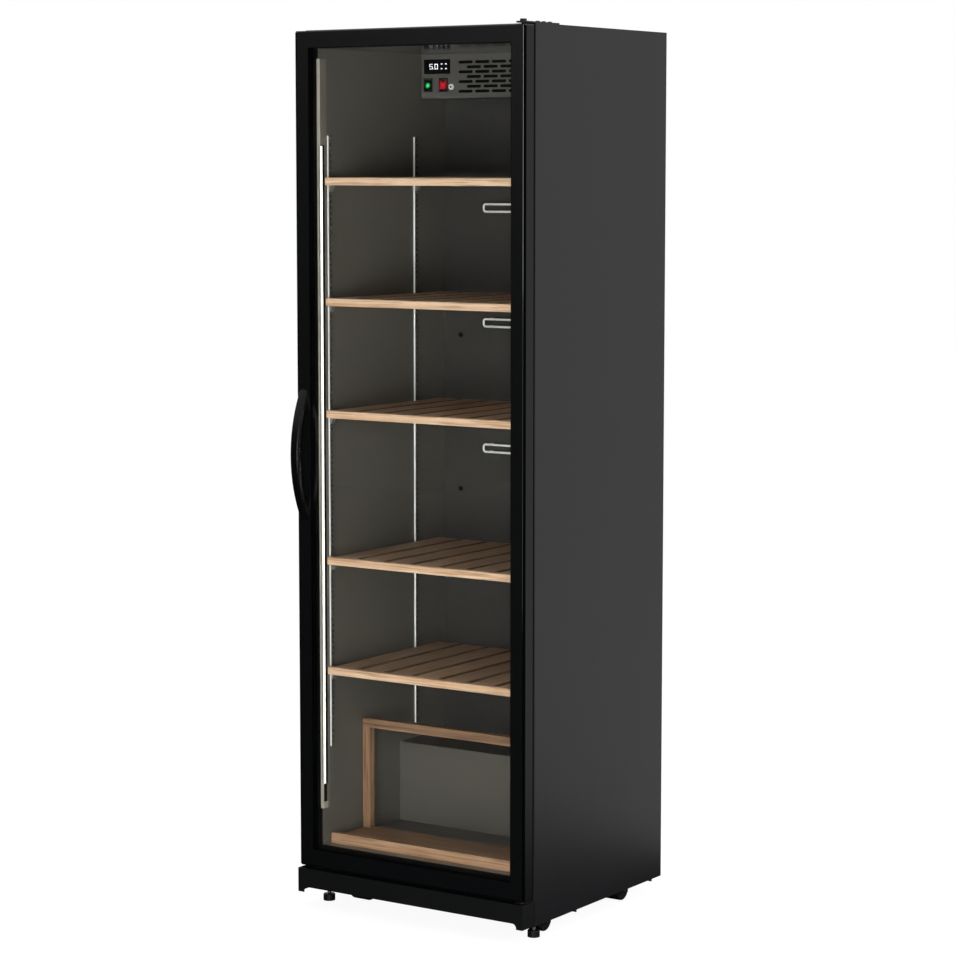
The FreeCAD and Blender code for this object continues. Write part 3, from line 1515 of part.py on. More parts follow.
def mains_inlet():
    """Recessed mains socket on the wall of the machine bay."""
    x = centred(-d.inlet_offset, d.inlet_width)
    z = (d.inlet_lift, d.inlet_lift + d.inlet_height)
    y = (bay_front, bay_front + d.inlet_depth)
    body = new_body("mains_inlet")
    raised(body, "XZ", y[0], d.inlet_depth, (x, z))
    sunk(body, "XZ", y[0] + d.inlet_wall, d.inlet_depth - d.inlet_wall,
         (grown(x, -d.inlet_wall), grown(z, -d.inlet_wall)))
    node(body, "mains_inlet")


def condenser():
    """One unbroken serpentine tube with vertical wires on it, held off the back by straps."""
    half = condenser_half
    low, top = condenser_z
    pitch = (top - low) / (CONDENSER_RUNS - 1)
    pieces = []
    for run in range(CONDENSER_RUNS):
        level = low + pitch * run
        pieces.append(rod("condenser_run", "x", (-half, tube_y, level), d.condenser_tube, half * 2))
        if run < CONDENSER_RUNS - 1:
            side = 1 if run % 2 == 0 else -1
            pieces.append(bend("condenser_bend", "y", (half * side, tube_y, level + pitch / 2),
                               -90 * side, pitch / 2, d.condenser_tube, 180))
    solids = [fused("condenser_tube", pieces)]
    bars = int(half.value * 2 // d.condenser_wire_pitch.value)
    for index in range(bars + 1):
        x = d.condenser_wire_pitch * (index - bars / 2)
        solids.append(rod("condenser_bar", "z", (x, wire_y, low - d.condenser_wire_overrun),
                          d.condenser_wire, top - low + d.condenser_wire_overrun * 2))
    for x in (-half + d.strap_width, half - d.strap_width * 2):
        for z in (low, top):
            solids.append(block("condenser_strap", (x, x + d.strap_width),
                                (panel_back, tube_y - d.condenser_tube), centred(z, d.strap_width)))
    node(together("condenser", solids), "condenser")


def refrigerant_pipes():
    """Pipes that join the condenser to the compressor and, through a drier, to the cold unit."""
    turn, tube = d.pipe_bend, d.condenser_tube
    low, top = condenser_z
    start_x, start_z = discharge
    start_y = compressor_y + d.boss_reach
    left = -condenser_half
    cross_z = bay_top + d.pipe_cross_rise
    right = condenser_half + d.pipe_outlet_reach
    drier_back = body_back - d.drier_inset
    drier_front = drier_back - d.drier_length

    hot = [
        rod("pipe_run", "y", (start_x, start_y, start_z), tube, tube_y - turn - start_y),
        bend("pipe_bend", "x", (start_x, tube_y - turn, start_z + turn), 0, turn, tube, 90),
        rod("pipe_run", "z", (start_x, tube_y, start_z + turn), tube, cross_z - start_z - turn * 2),
        bend("pipe_bend", "y", (start_x - turn, tube_y, cross_z - turn), 270, turn, tube, 90),
        rod("pipe_run", "x", (left, tube_y, cross_z), tube, start_x - turn - left),
        bend("pipe_bend", "y", (left, tube_y, cross_z + turn), 90, turn, tube, 90),
        rod("pipe_run", "z", (left - turn, tube_y, cross_z + turn), tube, low - cross_z - turn * 2),
        bend("pipe_bend", "y", (left, tube_y, low - turn), 180, turn, tube, 90),
    ]
    cool = [
        rod("pipe_run", "x", (condenser_half, tube_y, top), tube, d.pipe_outlet_reach),
        bend("pipe_bend", "y", (right, tube_y, top - turn), 270, turn, tube, 90),
        rod("pipe_run", "z", (right + turn, tube_y, start_z + turn), tube, top - start_z - turn * 2),
        bend("pipe_bend", "x", (right + turn, tube_y - turn, start_z + turn), 0, turn, tube, 90),
        rod("pipe_run", "y", (right + turn, bay_front, start_z), tube, tube_y - turn - bay_front),
        rod("drier", "y", (right + turn, drier_front, start_z), d.drier_radius, d.drier_length),
    ]
    node(together("refrigerant_pipes", [fused("hot_pipe", hot), fused("cool_pipe", cool)]), "refrigerant_pipes")


def build():
    """Make every sub-part in order."""
    case_panels()
    liner()
    insulation()
    plinth()
    case_screws()
    levelling_feet()
    transport_rollers()
    hinge_fittings()
    door_frame()
    corner_keys()
    glazing()
    handle()
    shelf_supports()
    shelves()
    display_rack()
    lamp()
    fascia()
    controls()
    evaporator()
    wire_guards()
    compressor()
    mains_inlet()
    condenser()
    refrigerant_pipes()
    doc.recompute()


def check():
    """Stop if any object failed, a solid is missing or invalid, or a cut removed nothing."""
    for thing in doc.Objects:
        if "Invalid" in thing.State or "Error" in thing.State:
            raise RuntimeError(f"{thing.Label} failed: {thing.State}")
        if thing.TypeId in ("PartDesign::Pocket", "PartDesign::Groove"):
            if thing.Shape.Volume >= thing.BaseFeature.Shape.Volume - TOLERANCE:
                raise RuntimeError(f"{thing.Label} in {thing.getParentGeoFeatureGroup().Label} cuts nothing")
    for thing in NODES:
        if thing.Shape.isNull() or not thing.Shape.isValid() or not thing.Shape.Solids:
            raise RuntimeError(f"{thing.Label} has no valid solid")


def export():
    """Write each sub-part to its own file."""
    os.makedirs("parts", exist_ok=True)
    for thing in NODES:
        thing.Shape.exportStep(os.path.join("parts", thing.Label + ".step"))


build()
check()
export()
print(len(NODES), "sub-parts written")
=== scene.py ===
"""Looks, light and camera of the glass-door wine cabinet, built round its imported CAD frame."""

import json
import logging
import math
from dataclasses import dataclass, replace
from enum import Enum
from typing import Iterable, Union

import bmesh
import bpy
from mathutils import Matrix, Vector

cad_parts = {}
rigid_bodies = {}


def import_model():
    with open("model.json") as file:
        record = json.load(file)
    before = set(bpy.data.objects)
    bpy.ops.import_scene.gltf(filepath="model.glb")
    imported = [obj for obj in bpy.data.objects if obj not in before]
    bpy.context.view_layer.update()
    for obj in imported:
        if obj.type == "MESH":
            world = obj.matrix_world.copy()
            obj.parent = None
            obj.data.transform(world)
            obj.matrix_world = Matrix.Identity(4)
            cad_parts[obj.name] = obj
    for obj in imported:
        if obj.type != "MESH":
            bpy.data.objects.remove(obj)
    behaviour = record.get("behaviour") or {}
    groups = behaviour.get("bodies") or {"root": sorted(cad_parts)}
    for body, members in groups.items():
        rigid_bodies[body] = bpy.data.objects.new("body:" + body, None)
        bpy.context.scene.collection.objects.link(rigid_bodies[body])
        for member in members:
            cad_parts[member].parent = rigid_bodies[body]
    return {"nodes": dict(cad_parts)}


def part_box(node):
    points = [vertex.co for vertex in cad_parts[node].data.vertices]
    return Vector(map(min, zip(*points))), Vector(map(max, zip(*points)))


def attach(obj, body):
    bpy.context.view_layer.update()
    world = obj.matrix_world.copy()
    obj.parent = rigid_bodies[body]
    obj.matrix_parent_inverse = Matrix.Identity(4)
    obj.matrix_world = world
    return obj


log = logging.getLogger("wine_cabinet")

MM = 0.001
CABINET = "cabinet"
SIDES = (-1, 1)

Socket = bpy.types.NodeSocket
Tree = bpy.types.NodeTree
Setting = Union[float, int, str, tuple, Socket]
Colour = tuple[float, float, float, float]
Span = tuple[float, float]
Triple = tuple[float, float, float]

# Places of share, first and second input in a mix of numbers or colours, and of the mixed colour
MIX_NUMBERS = (0, 2, 3)
MIX_COLOURS = (0, 6, 7)
MIX_COLOUR_OUT = 2
# Span of a noise texture's values that holds most of its clouds
CLOUD_SPAN = (0.3, 0.7)
# Above this, a socket that is zero or one counts as one
ON = 0.5
WHITE = "#ffffff"
BEVEL_STEPS = 2
MERGE_DISTANCE = 1e-6


class Axis(Enum):
    """Directions in the row frame: across, to the back and up."""

    ACROSS = Vector((1, 0, 0))
    BACK = Vector((0, 1, 0))
    UP = Vector((0, 0, 1))


def linear(code: str) -> Colour:
    """Turn an sRGB hex value into linear light.

    Args:
        code: Colour such as "#d9b48f".

    Returns:
        Red, green and blue, with an alpha of one.
    """
    parts = [int(code[i:i + 2], 16) / 255 for i in (1, 3, 5)]
    light = [p / 12.92 if p <= 0.04045 else ((p + 0.055) / 1.055) ** 2.4 for p in parts]
    return (*light, 1.0)


def fresh_tree(owner: Union[bpy.types.Material, bpy.types.World]) -> Tree:
    """Return the node tree of a material or world, emptied."""
    owner.use_nodes = True
    owner.node_tree.nodes.clear()
    return owner.node_tree


def add_node(tree: Tree, kind: str, inputs: dict[Union[str, int], Setting],
             **settings: Setting) -> bpy.types.Node:
    """Add a node with its settings, values and links.

    Args:
        tree: Nodes of a material or of the world.
        kind: Node type, without the "ShaderNode" that all of them start with.
        inputs: Value or source socket for each input.
        **settings: Attributes of the node.

    Returns:
        The new node.
    """
    node = tree.nodes.new("ShaderNode" + kind)
    for name, value in settings.items():
        setattr(node, name, value)
    for name, value in inputs.items():
        if isinstance(value, bpy.types.NodeSocket):
            tree.links.new(value, node.inputs[name])
        else:
            node.inputs[name].default_value = value
    return node


def compute(tree: Tree, operation: str, *values: Setting) -> Socket:
    """Return the result of a math operation on values or sockets."""
    return add_node(tree, "Math", dict(enumerate(values)), operation=operation).outputs[0]


def choose(tree: Tree, share: Setting, first: Setting, second: Setting) -> Socket:
    """Return the first number where the share is zero, and the second where it is one."""
    return add_node(tree, "Mix", dict(zip(MIX_NUMBERS, (share, first, second)))).outputs[0]


def blend(tree: Tree, share: Setting, first: Setting, second: Setting) -> Socket:
    """Return a mix of two colours, hex values or sockets, with a share of the second."""
    ends = [linear(end) if isinstance(end, str) else end for end in (first, second)]
    inputs = dict(zip(MIX_COLOURS, (share, *ends)))
    return add_node(tree, "Mix", inputs, data_type="RGBA").outputs[MIX_COLOUR_OUT]


def remap(tree: Tree, value: Socket, source: Span = (0.0, 1.0), target: Span = (0.0, 1.0)) -> Socket:
    """Return a value mapped from one span, in which it is clamped, to another."""
    ends = {"From Min": source[0], "From Max": source[1], "To Min": target[0], "To Max": target[1]}
    return add_node(tree, "MapRange", {"Value": value, **ends}).outputs[0]


def object_place(tree: Tree) -> Socket:
    """Return where a point lies in its object."""
    return add_node(tree, "TexCoord", {}).outputs["Object"]


@dataclass(frozen=True)
class Finish:
    """A surface of one material.

    The grain is a fine bump, drawn out along the axes with a small factor. The patches are soft
    clouds in which brightness and gloss drift. Sizes are in millimetres.
    """

    name: str
    colour: str
    roughness: float
    metallic: float = 0.0
    ior: float = 1.5
    shine: float = 0.5
    grain: float = 2.0
    grain_depth: float = 0.02
    drawn: Triple = (1.0, 1.0, 1.0)
    patch: float = 120.0
    fade: float = 0.05
    mottle: float = 0.015
    glow: str = WHITE
    glow_strength: float = 0.0

    def material(self) -> bpy.types.Material:
        """Make the material, once.

        Returns:
            The finish as a material.
        """
        found = bpy.data.materials.get(self.name)
        if found is not None:
            return found
        made = bpy.data.materials.new(self.name)
        tree = fresh_tree(made)
        add_node(tree, "OutputMaterial", {"Surface": self.surface(tree)})
        made.diffuse_color = linear(self.colour)
        return made

    def surface(self, tree: Tree) -> Socket:
        """Add the shader with its patterns.

        Args:
            tree: Nodes of the material.

        Returns:
            Output of the shader.
        """
        shader = add_node(tree, "BsdfPrincipled", {
            "Roughness": self.roughness, "Metallic": self.metallic, "IOR": self.ior,
            "Specular IOR Level": self.shine, "Emission Color": linear(self.glow),
            "Emission Strength": self.glow_strength})
        self.pattern(tree, shader, object_place(tree))
        return shader.outputs["BSDF"]

    def glowing(self, tree: Tree, body: Socket, share: Socket) -> Socket:
        """Add a shader that glows in places.

        Args:
            tree: Nodes of the material.
            body: Its colour.
            share: Share of the full glow.

        Returns:
            Output of the shader.
        """
        return add_node(tree, "BsdfPrincipled", {
            "Base Color": body, "Roughness": self.roughness, "IOR": self.ior,
            "Emission Color": linear(self.glow),
            "Emission Strength": compute(tree, "MULTIPLY", share, self.glow_strength)}).outputs["BSDF"]

    def tint(self, tree: Tree, place: Socket) -> Setting:
        """Return the colour before it drifts, as a value or a socket."""
        return linear(self.colour)

    def pattern(self, tree: Tree, shader: bpy.types.Node, place: Socket) -> None:
        """Add the grain, and the drift of brightness and gloss.

        Args:
            tree: Nodes of the material.
            shader: Shader that takes them.
            place: Where a point lies in its object.
        """
        scale = tuple(share / (self.grain * MM) for share in self.drawn)
        spread = add_node(tree, "Mapping", {"Vector": place, "Scale": scale}).outputs[0]
        fine = add_node(tree, "TexNoise", {"Vector": spread, "Scale": 1.0, "Detail": 2.0})
        depth = self.grain_depth * MM
        bump = add_node(tree, "Bump", {"Height": fine.outputs[0], "Strength": 1.0, "Distance": depth})
        tree.links.new(bump.outputs[0], shader.inputs["Normal"])
        scale = 1 / (self.patch * MM)
        cloud = add_node(tree, "TexNoise", {"Vector": place, "Scale": scale, "Detail": 3.0}).outputs[0]
        drift = remap(tree, cloud, CLOUD_SPAN, (1 - self.fade, 1 + self.fade))
        shade = add_node(tree, "HueSaturation", {"Color": self.tint(tree, place), "Value": drift})
        tree.links.new(shade.outputs[0], shader.inputs["Base Color"])
        gloss = remap(tree, cloud, CLOUD_SPAN, (self.roughness - self.mottle, self.roughness + self.mottle))
        tree.links.new(gloss, shader.inputs["Roughness"])


@dataclass(frozen=True)
class PaintedLightProfile(Finish):
    """A profile with painted light, a paler colour, on its front edges and painted shade in its pockets.

    The places of the edges, and how far aside a pocket begins, are in metres; the skin is in millimetres.
    """

    # Painted light on the front edges, and a near black of painted shade in the pockets
    front: str = WHITE
    edges: tuple[float, ...] = ()
    skin: float = 0.4
    pocket: float = 9.0
    pocket_painted_shade: str = "#080808"

    def tint(self, tree: Tree, place: Socket) -> Setting:
        """Add the colour of the sides, the painted shade in the pockets and the painted light on the front
        edges.

        Args:
            tree: Nodes of the material.
            place: Where a point lies in its object.

        Returns:
            The colour.
        """
        across, back, _ = add_node(tree, "SeparateXYZ", {0: place}).outputs
        deep = compute(tree, "GREATER_THAN", compute(tree, "ABSOLUTE", across), self.pocket)
        side = blend(tree, deep, self.colour, self.pocket_painted_shade)
        share: Setting = 0.0
        for edge in self.edges:
            share = compute(tree, "ADD", compute(tree, "COMPARE", back, edge, self.skin * MM), share)
        return blend(tree, share, side, self.front)


@dataclass(frozen=True)
class LampLens(Finish):
    """Opal acrylic, lit before its diodes in a band of a middle and a half width in metres."""

    band: Span = (0.0, 0.0)
    unlit: str = "#7d786c"

    def surface(self, tree: Tree) -> Socket:
        """Return the output of a shader with its lit band."""
        back = add_node(tree, "SeparateXYZ", {0: object_place(tree)}).outputs[1]
        lit = compute(tree, "COMPARE", back, *self.band)
        return self.glowing(tree, blend(tree, lit, self.unlit, self.colour), lit)


@dataclass(frozen=True)
class Spangled(Finish):
    """Hot-dip zinc: crystals of many sizes, each with a grey of its own."""

    light: str = "#b3b6b8"
    spangle: float = 12.0

    def tint(self, tree: Tree, place: Socket) -> Setting:
        """Return a grey for each crystal."""
        cells = add_node(tree, "TexVoronoi", {"Vector": place, "Scale": 1 / (self.spangle * MM)})
        grey = add_node(tree, "SeparateColor", {0: cells.outputs["Color"]}).outputs[0]
        return blend(tree, grey, self.colour, self.light)


@dataclass(frozen=True)
class RockerLens(Finish):
    """Clear polycarbonate over a small lamp: it glows before the lamp, and a pool of the lamp's light is also
    painted into its colour, fading to a dark rim.

    The lamp is a place across and up, in metres; its reach, and the half width and rise of the
    notch of painted shade at the top, are in millimetres.
    """

    rim: str = "#101010"
    lamp: Span = (0.0, 0.0)
    reach: float = 10.0
    falloff: float = 2.0
    notch: float = 0.0
    notch_rise: float = 4.0
    notch_painted_shade: str = "#1c1616"

    def surface(self, tree: Tree) -> Socket:
        """Add the shader with its lamp, the painted pool of its light and its notch of painted shade.

        Args:
            tree: Nodes of the material.

        Returns:
            Output of the shader.
        """
        x, _, z = add_node(tree, "SeparateXYZ", {0: object_place(tree)}).outputs
        flat = add_node(tree, "CombineXYZ", {0: x, 2: z}).outputs[0]
        across, up = self.lamp
        away = add_node(tree, "VectorMath", {0: flat, 1: (across, 0.0, up)}, operation="DISTANCE")
        near = remap(tree, away.outputs["Value"], (0.0, self.reach * MM), (1.0, 0.0))
        # Painted light: the colour brightens from the rim towards the lamp
        body = blend(tree, near, self.rim, self.colour)
        if self.notch:
            aside = compute(tree, "ABSOLUTE", compute(tree, "ADD", x, -across))
            above = compute(tree, "ADD", z, -up - self.notch_rise * MM)
            cut = compute(tree, "GREATER_THAN", above, aside)
            inside = compute(tree, "LESS_THAN", aside, self.notch * MM)
            # Painted shade: the notch stands for the shade on the pressed-in upper half
            body = blend(tree, compute(tree, "MULTIPLY", cut, inside), body, self.notch_painted_shade)
        return self.glowing(tree, body, compute(tree, "POWER", near, self.falloff))


@dataclass(frozen=True)
class Oak(Finish):
    """Lacquered oak: long pores along the boards, with a tone of its own for each board.

    Faces that look up and the sawn sides in the gaps between the slats are darkened as painted shade, so they
    are darker than the front edge. Growth rings are about 9 mm apart; pores are drawn 3.5 mm apart to show.
    Their scales are per metre, along and across the grain. Boards and pore depth are in millimetres, the ends
    of rail and posts in metres.
    """

    dark: str = "#8a5f3a"
    pore: str = "#6d4527"
    along: Axis = Axis.BACK
    board: float = 73.0
    board_start: float = 0.06
    board_shift: float = 3.0
    board_tones: Span = (0.86, 1.08)
    ring_scale: Triple = (2.2, 110.0, 110.0)
    ring_span: Span = (0.35, 0.68)
    pore_scale: Triple = (9.0, 285.0, 285.0)
    pore_span: Span = (0.5, 0.66)
    pore_tone: float = 0.75
    pore_bump: float = 0.6
    pore_depth: float = 0.15
    rail_end: float = -1.0
    painted_top_shade: float = 0.72
    painted_gap_shade: float = 0.25
    post_from: float = 9.0
    post_high: float = 0.0

    def pattern(self, tree: Tree, shader: bpy.types.Node, place: Socket) -> None:
        """Add the grain along the boards, across in the front rail and upright in posts.

        Args:
            tree: Nodes of the material.
            shader: Shader that takes it.
            place: Where a point lies in its object.
        """
        across, back, up = add_node(tree, "SeparateXYZ", {0: place}).outputs
        is_rail = compute(tree, "LESS_THAN", back, self.rail_end)
        if self.along is Axis.ACROSS:
            is_end = compute(tree, "GREATER_THAN", compute(tree, "ABSOLUTE", across), self.post_from)
            is_low = compute(tree, "LESS_THAN", up, self.post_high)
            is_post = compute(tree, "MULTIPLY", is_end, is_low)
            run = choose(tree, is_post, across, up)
            side = choose(tree, is_post, back, across)
            up = choose(tree, is_post, up, back)
        else:
            run = choose(tree, is_rail, back, across)
            side = choose(tree, is_rail, across, back)
        board = compute(tree, "DIVIDE", side, self.board * MM)
        number = compute(tree, "ROUND", compute(tree, "ADD", board, self.board_start))
        tone = add_node(tree, "TexWhiteNoise", {"W": number}, noise_dimensions="1D").outputs["Value"]
        shift = compute(tree, "MULTIPLY_ADD", tone, self.board_shift, run)
        lengthwise = add_node(tree, "CombineXYZ", {0: shift, 1: side, 2: up}).outputs[0]
        rings = add_node(tree, "Mapping", {"Vector": lengthwise, "Scale": self.ring_scale}).outputs[0]
        pores = add_node(tree, "Mapping", {"Vector": lengthwise, "Scale": self.pore_scale}).outputs[0]
        ring = add_node(tree, "TexNoise", {
            "Vector": rings, "Scale": 1.0, "Detail": 3.0, "Roughness": 0.6, "Distortion": 0.4}).outputs[0]
        pore = add_node(tree, "TexNoise", {"Vector": pores, "Scale": 1.0, "Detail": 2.0}).outputs[0]
        wood = blend(tree, remap(tree, ring, self.ring_span), self.colour, self.dark)
        wood = blend(tree, remap(tree, pore, self.pore_span, (0.0, self.pore_tone)), wood, self.pore)
        value = remap(tree, tone, target=self.board_tones)
        value = compute(tree, "MULTIPLY", value, self.shade(tree, is_rail))
        toned = add_node(tree, "HueSaturation", {"Color": wood, "Value": value})
        tree.links.new(toned.outputs[0], shader.inputs["Base Color"])
        bump = add_node(tree, "Bump", {
            "Height": pore, "Strength": self.pore_bump, "Distance": self.pore_depth * MM})
        tree.links.new(bump.outputs[0], shader.inputs["Normal"])

    def shade(self, tree: Tree, is_rail: Socket) -> Socket:
        """Add painted shade by where a face looks.

        Args:
            tree: Nodes of the material.
            is_rail: One in the front rail, which has no gaps.

        Returns:
            A factor for the brightness.
        """
        normal = add_node(tree, "NewGeometry", {}).outputs["Normal"]
        across, _, up = add_node(tree, "SeparateXYZ", {0: normal}).outputs
        # Painted shade: the slats' tops and the sawn sides in their gaps are darkened
        top = choose(tree, compute(tree, "GREATER_THAN", up, ON), 1.0, self.painted_top_shade)
        in_gap = compute(tree, "GREATER_THAN", compute(tree, "ABSOLUTE", across), ON)
        return choose(tree, is_rail, choose(tree, in_gap, top, self.painted_gap_shade), 1.0)


@dataclass(frozen=True)
class PaneGlass(Finish):
    """Float glass: clear to the eye, and it lets the lamps through to the shelves."""

    def surface(self, tree: Tree) -> Socket:
        """Add glass that casts no shadow.

        Args:
            tree: Nodes of the material.

        Returns:
            Output of the shader.
        """
        shader = add_node(tree, "BsdfPrincipled", {
            "Base Color": linear(self.colour), "Roughness": self.roughness,
            "IOR": self.ior, "Transmission Weight": 1.0})
        clear = add_node(tree, "BsdfTransparent", {"Color": linear(self.colour)})
        rays = add_node(tree, "LightPath", {}).outputs
        return add_node(tree, "MixShader", {
            0: rays["Is Shadow Ray"], 1: shader.outputs[0], 2: clear.outputs[0]}).outputs[0]


# Powder-coated steel: satin black; its orange peel is drawn coarse enough to show
CASE = Finish("powder_coat_satin_black", "#141416", 0.42, shine=0.19, grain=2.4, grain_depth=0.03)
PLINTH = Finish("powder_coat_plinth_black", "#0a0b0c", 0.45, shine=0.23, grain=2.4, grain_depth=0.03)
# Lacquered aluminium of the door: darker and glossier than the case, with a soft ripple
DOOR = Finish("lacquered_aluminium_black", "#070809", 0.27, shine=0.33, grain=6.0, grain_depth=0.004,
              fade=0.02, mottle=0.0)
# Moulded ABS of the handle: gloss black, almost without texture
HANDLE = Finish("gloss_abs_black", "#060607", 0.27, shine=0.16, grain=5.0, grain_depth=0.01)
# Vacuum-formed polystyrene of the cold room: warm grey with a soft sheen; the ceiling mirrors the most
LINER = Finish("formed_polystyrene_grey", "#56524b", 0.28, shine=0.4, grain=3.0, fade=0.01, mottle=0.0)
# The rear wall is a darker copy of the walls' polystyrene: painted shade, as it takes less light
REAR_WALL = Finish("polystyrene_rear_painted_shade", "#3a3835", 0.34, shine=0.3, grain=3.0, fade=0.01, mottle=0.0)
CEILING = Finish("formed_polystyrene_ceiling", "#4a4843", 0.08, shine=0.5, grain=9.0, grain_depth=0.003,
                 fade=0.01, mottle=0.0)
# Moulded ABS of the cold unit: a little coarser and duller than the walls
FASCIA = Finish("moulded_abs_grey", "#524f4a", 0.45, grain=1.6)
# Extruded PVC of the light strip, toned like the wall; its pale front face is painted light, paler than its
# sides
LAMP_BODY = PaintedLightProfile("pvc_strip_painted_lit_front", "#6d655a", 0.5, front="#a39c8f", drawn=(1, 1, 0.05))
# Moulded PVC stop at the lamp's lower end: as pale as the strip's front
LAMP_CAP = Finish("moulded_pvc_beige", "#a1988b", 0.5)
# Opal acrylic over a row of diodes: even, white and lit
LENS = LampLens("opal_acrylic_lit", WHITE, 0.4, glow="#fffaf0", glow_strength=1.6)
# Coated steel strip of the shelf uprights, toned like the wall; its bright front edges are a painted
# highlight of the lamp light, and its slots hold painted shade
STRIP = PaintedLightProfile("strip_grey_painted_lit_edges", "#4d4a44", 0.45, front="#f6f5f1", drawn=(1, 1, 0.05))
# Pressed steel of the shelf clips: a paler grey
CLIP = Finish("pressed_clip_grey", "#7d7c78", 0.4, metallic=0.4)
# Clear-lacquered oak: pale on the shelves, browner in the rack and darkest in its frame, with brown pores
SHELF_OAK = Oak("lacquered_oak", "#e1c0a0", 0.42, dark="#c99f7b", pore="#9c7250")
RACK_OAK = Oak("lacquered_oak_rack", "#b08c6e", 0.42, dark="#8f6b4d", pore="#6c4b31",
               along=Axis.ACROSS, board=40.0, painted_top_shade=0.85, painted_gap_shade=1.0)
POST_OAK = replace(RACK_OAK, name="lacquered_oak_posts", colour="#98775b", dark="#7a5a40", pore="#573b27")
# Float glass: clear and thin, with hardly any tone
GLASS = PaneGlass("float_glass", "#fcfdfd", 0.0, ior=1.45)
# Small black parts: anodised, extruded, moulded, lacquered or rubber, from satin to dull
SPACER = Finish("anodised_spacer_black", "#040404", 0.8, shine=0.02)
BEAD = Finish("extruded_bead_black", "#0e0e0e", 0.7, shine=0.06)
GASKET = Finish("soft_gasket_black", "#0a0a0a", 0.6, shine=0.2)
RUBBER = Finish("moulded_rubber_black", "#0b0b0b", 0.75, shine=0.2)
TRIM = Finish("pressed_in_rubber_black", "#010101", 0.9, shine=0.02)
CAP = Finish("satin_edge_cap_black", "#0b0b0c", 0.42, shine=0.11, drawn=(1, 1, 0.05))
NYLON = Finish("moulded_nylon_black", "#0a0a0b", 0.5, shine=0.25, grain=1.5)
BEZEL = Finish("moulded_bezel_black", "#0d0d0e", 0.5, shine=0.3, grain=1.5)
BLACK_STEEL = Finish("black_lacquered_steel", "#08090a", 0.4, shine=0.3, grain=2.4)
BLACK_FIN = Finish("epoxy_coated_fin_black", "#060606", 0.7, shine=0.1)
# Polished black beading: dark, with one bright line where a lamp is mirrored
BEADING = Finish("polished_beading_black", "#060607", 0.08, shine=1.0, fade=0.0, mottle=0.0)
# Bare metals: zinc with its crystals, plated screws, drawn copper, a satin button
GALVANISED = Spangled("galvanised_sheet", "#9a9da0", 0.45, metallic=0.6, mottle=0.05)
ZINC = Finish("zinc_plated_steel", "#a9abad", 0.32, metallic=1.0, patch=20.0, fade=0.12, mottle=0.06)
COPPER = Finish("drawn_copper_tube", "#b9714b", 0.3, metallic=1.0, patch=35.0, fade=0.15, mottle=0.08)
BUTTON = Finish("satin_aluminium_button", "#eceef0", 0.4, metallic=0.3, grain=0.8)
# Rigid foam: pale yellow with fine cells
FOAM = Finish("rigid_foam", "#d8c79c", 0.9, grain=1.0, grain_depth=0.1)
# Plated wire: its near-white colour is a painted highlight standing for the lamps mirrored in it, pale
# against the walls
GUARD = Finish("plated_wire_painted_highlight", "#fdfbf4", 0.35, metallic=0.25)
# Smoked acrylic of the display, its lit figures, and the clear rockers
SCREEN = Finish("smoked_acrylic", "#050506", 0.12, grain=6.0, grain_depth=0.005)
DIGIT = Finish("lit_figures", WHITE, 0.5, glow="#f4f8ff", glow_strength=0.8)
GREEN = RockerLens("green_polycarbonate", "#0d5f2b", 0.2, glow="#4cf084", glow_strength=1.6, rim="#04160a",
                   reach=8.5)
RED = RockerLens("red_polycarbonate", "#bd1f2c", 0.2, glow="#ff3a44", glow_strength=0.2, rim="#5a0d14",
                 reach=22.0, notch=6.0)
# Dull black: the plugs' own plastic, and painted shade in screw recesses, upright slots, the lamp's groove
# and the button's centre
BLACK_AND_SHADE = Finish("black_plastic_and_painted_shade", "#0a0a0a", 0.6, shine=0.1)


def put(name: str, data: bpy.types.ID) -> bpy.types.Object:
    """Return a new object in the scene, with its mesh, lamp or camera."""
    made = bpy.data.objects.new(name, data)
    bpy.context.scene.collection.objects.link(made)
    return made


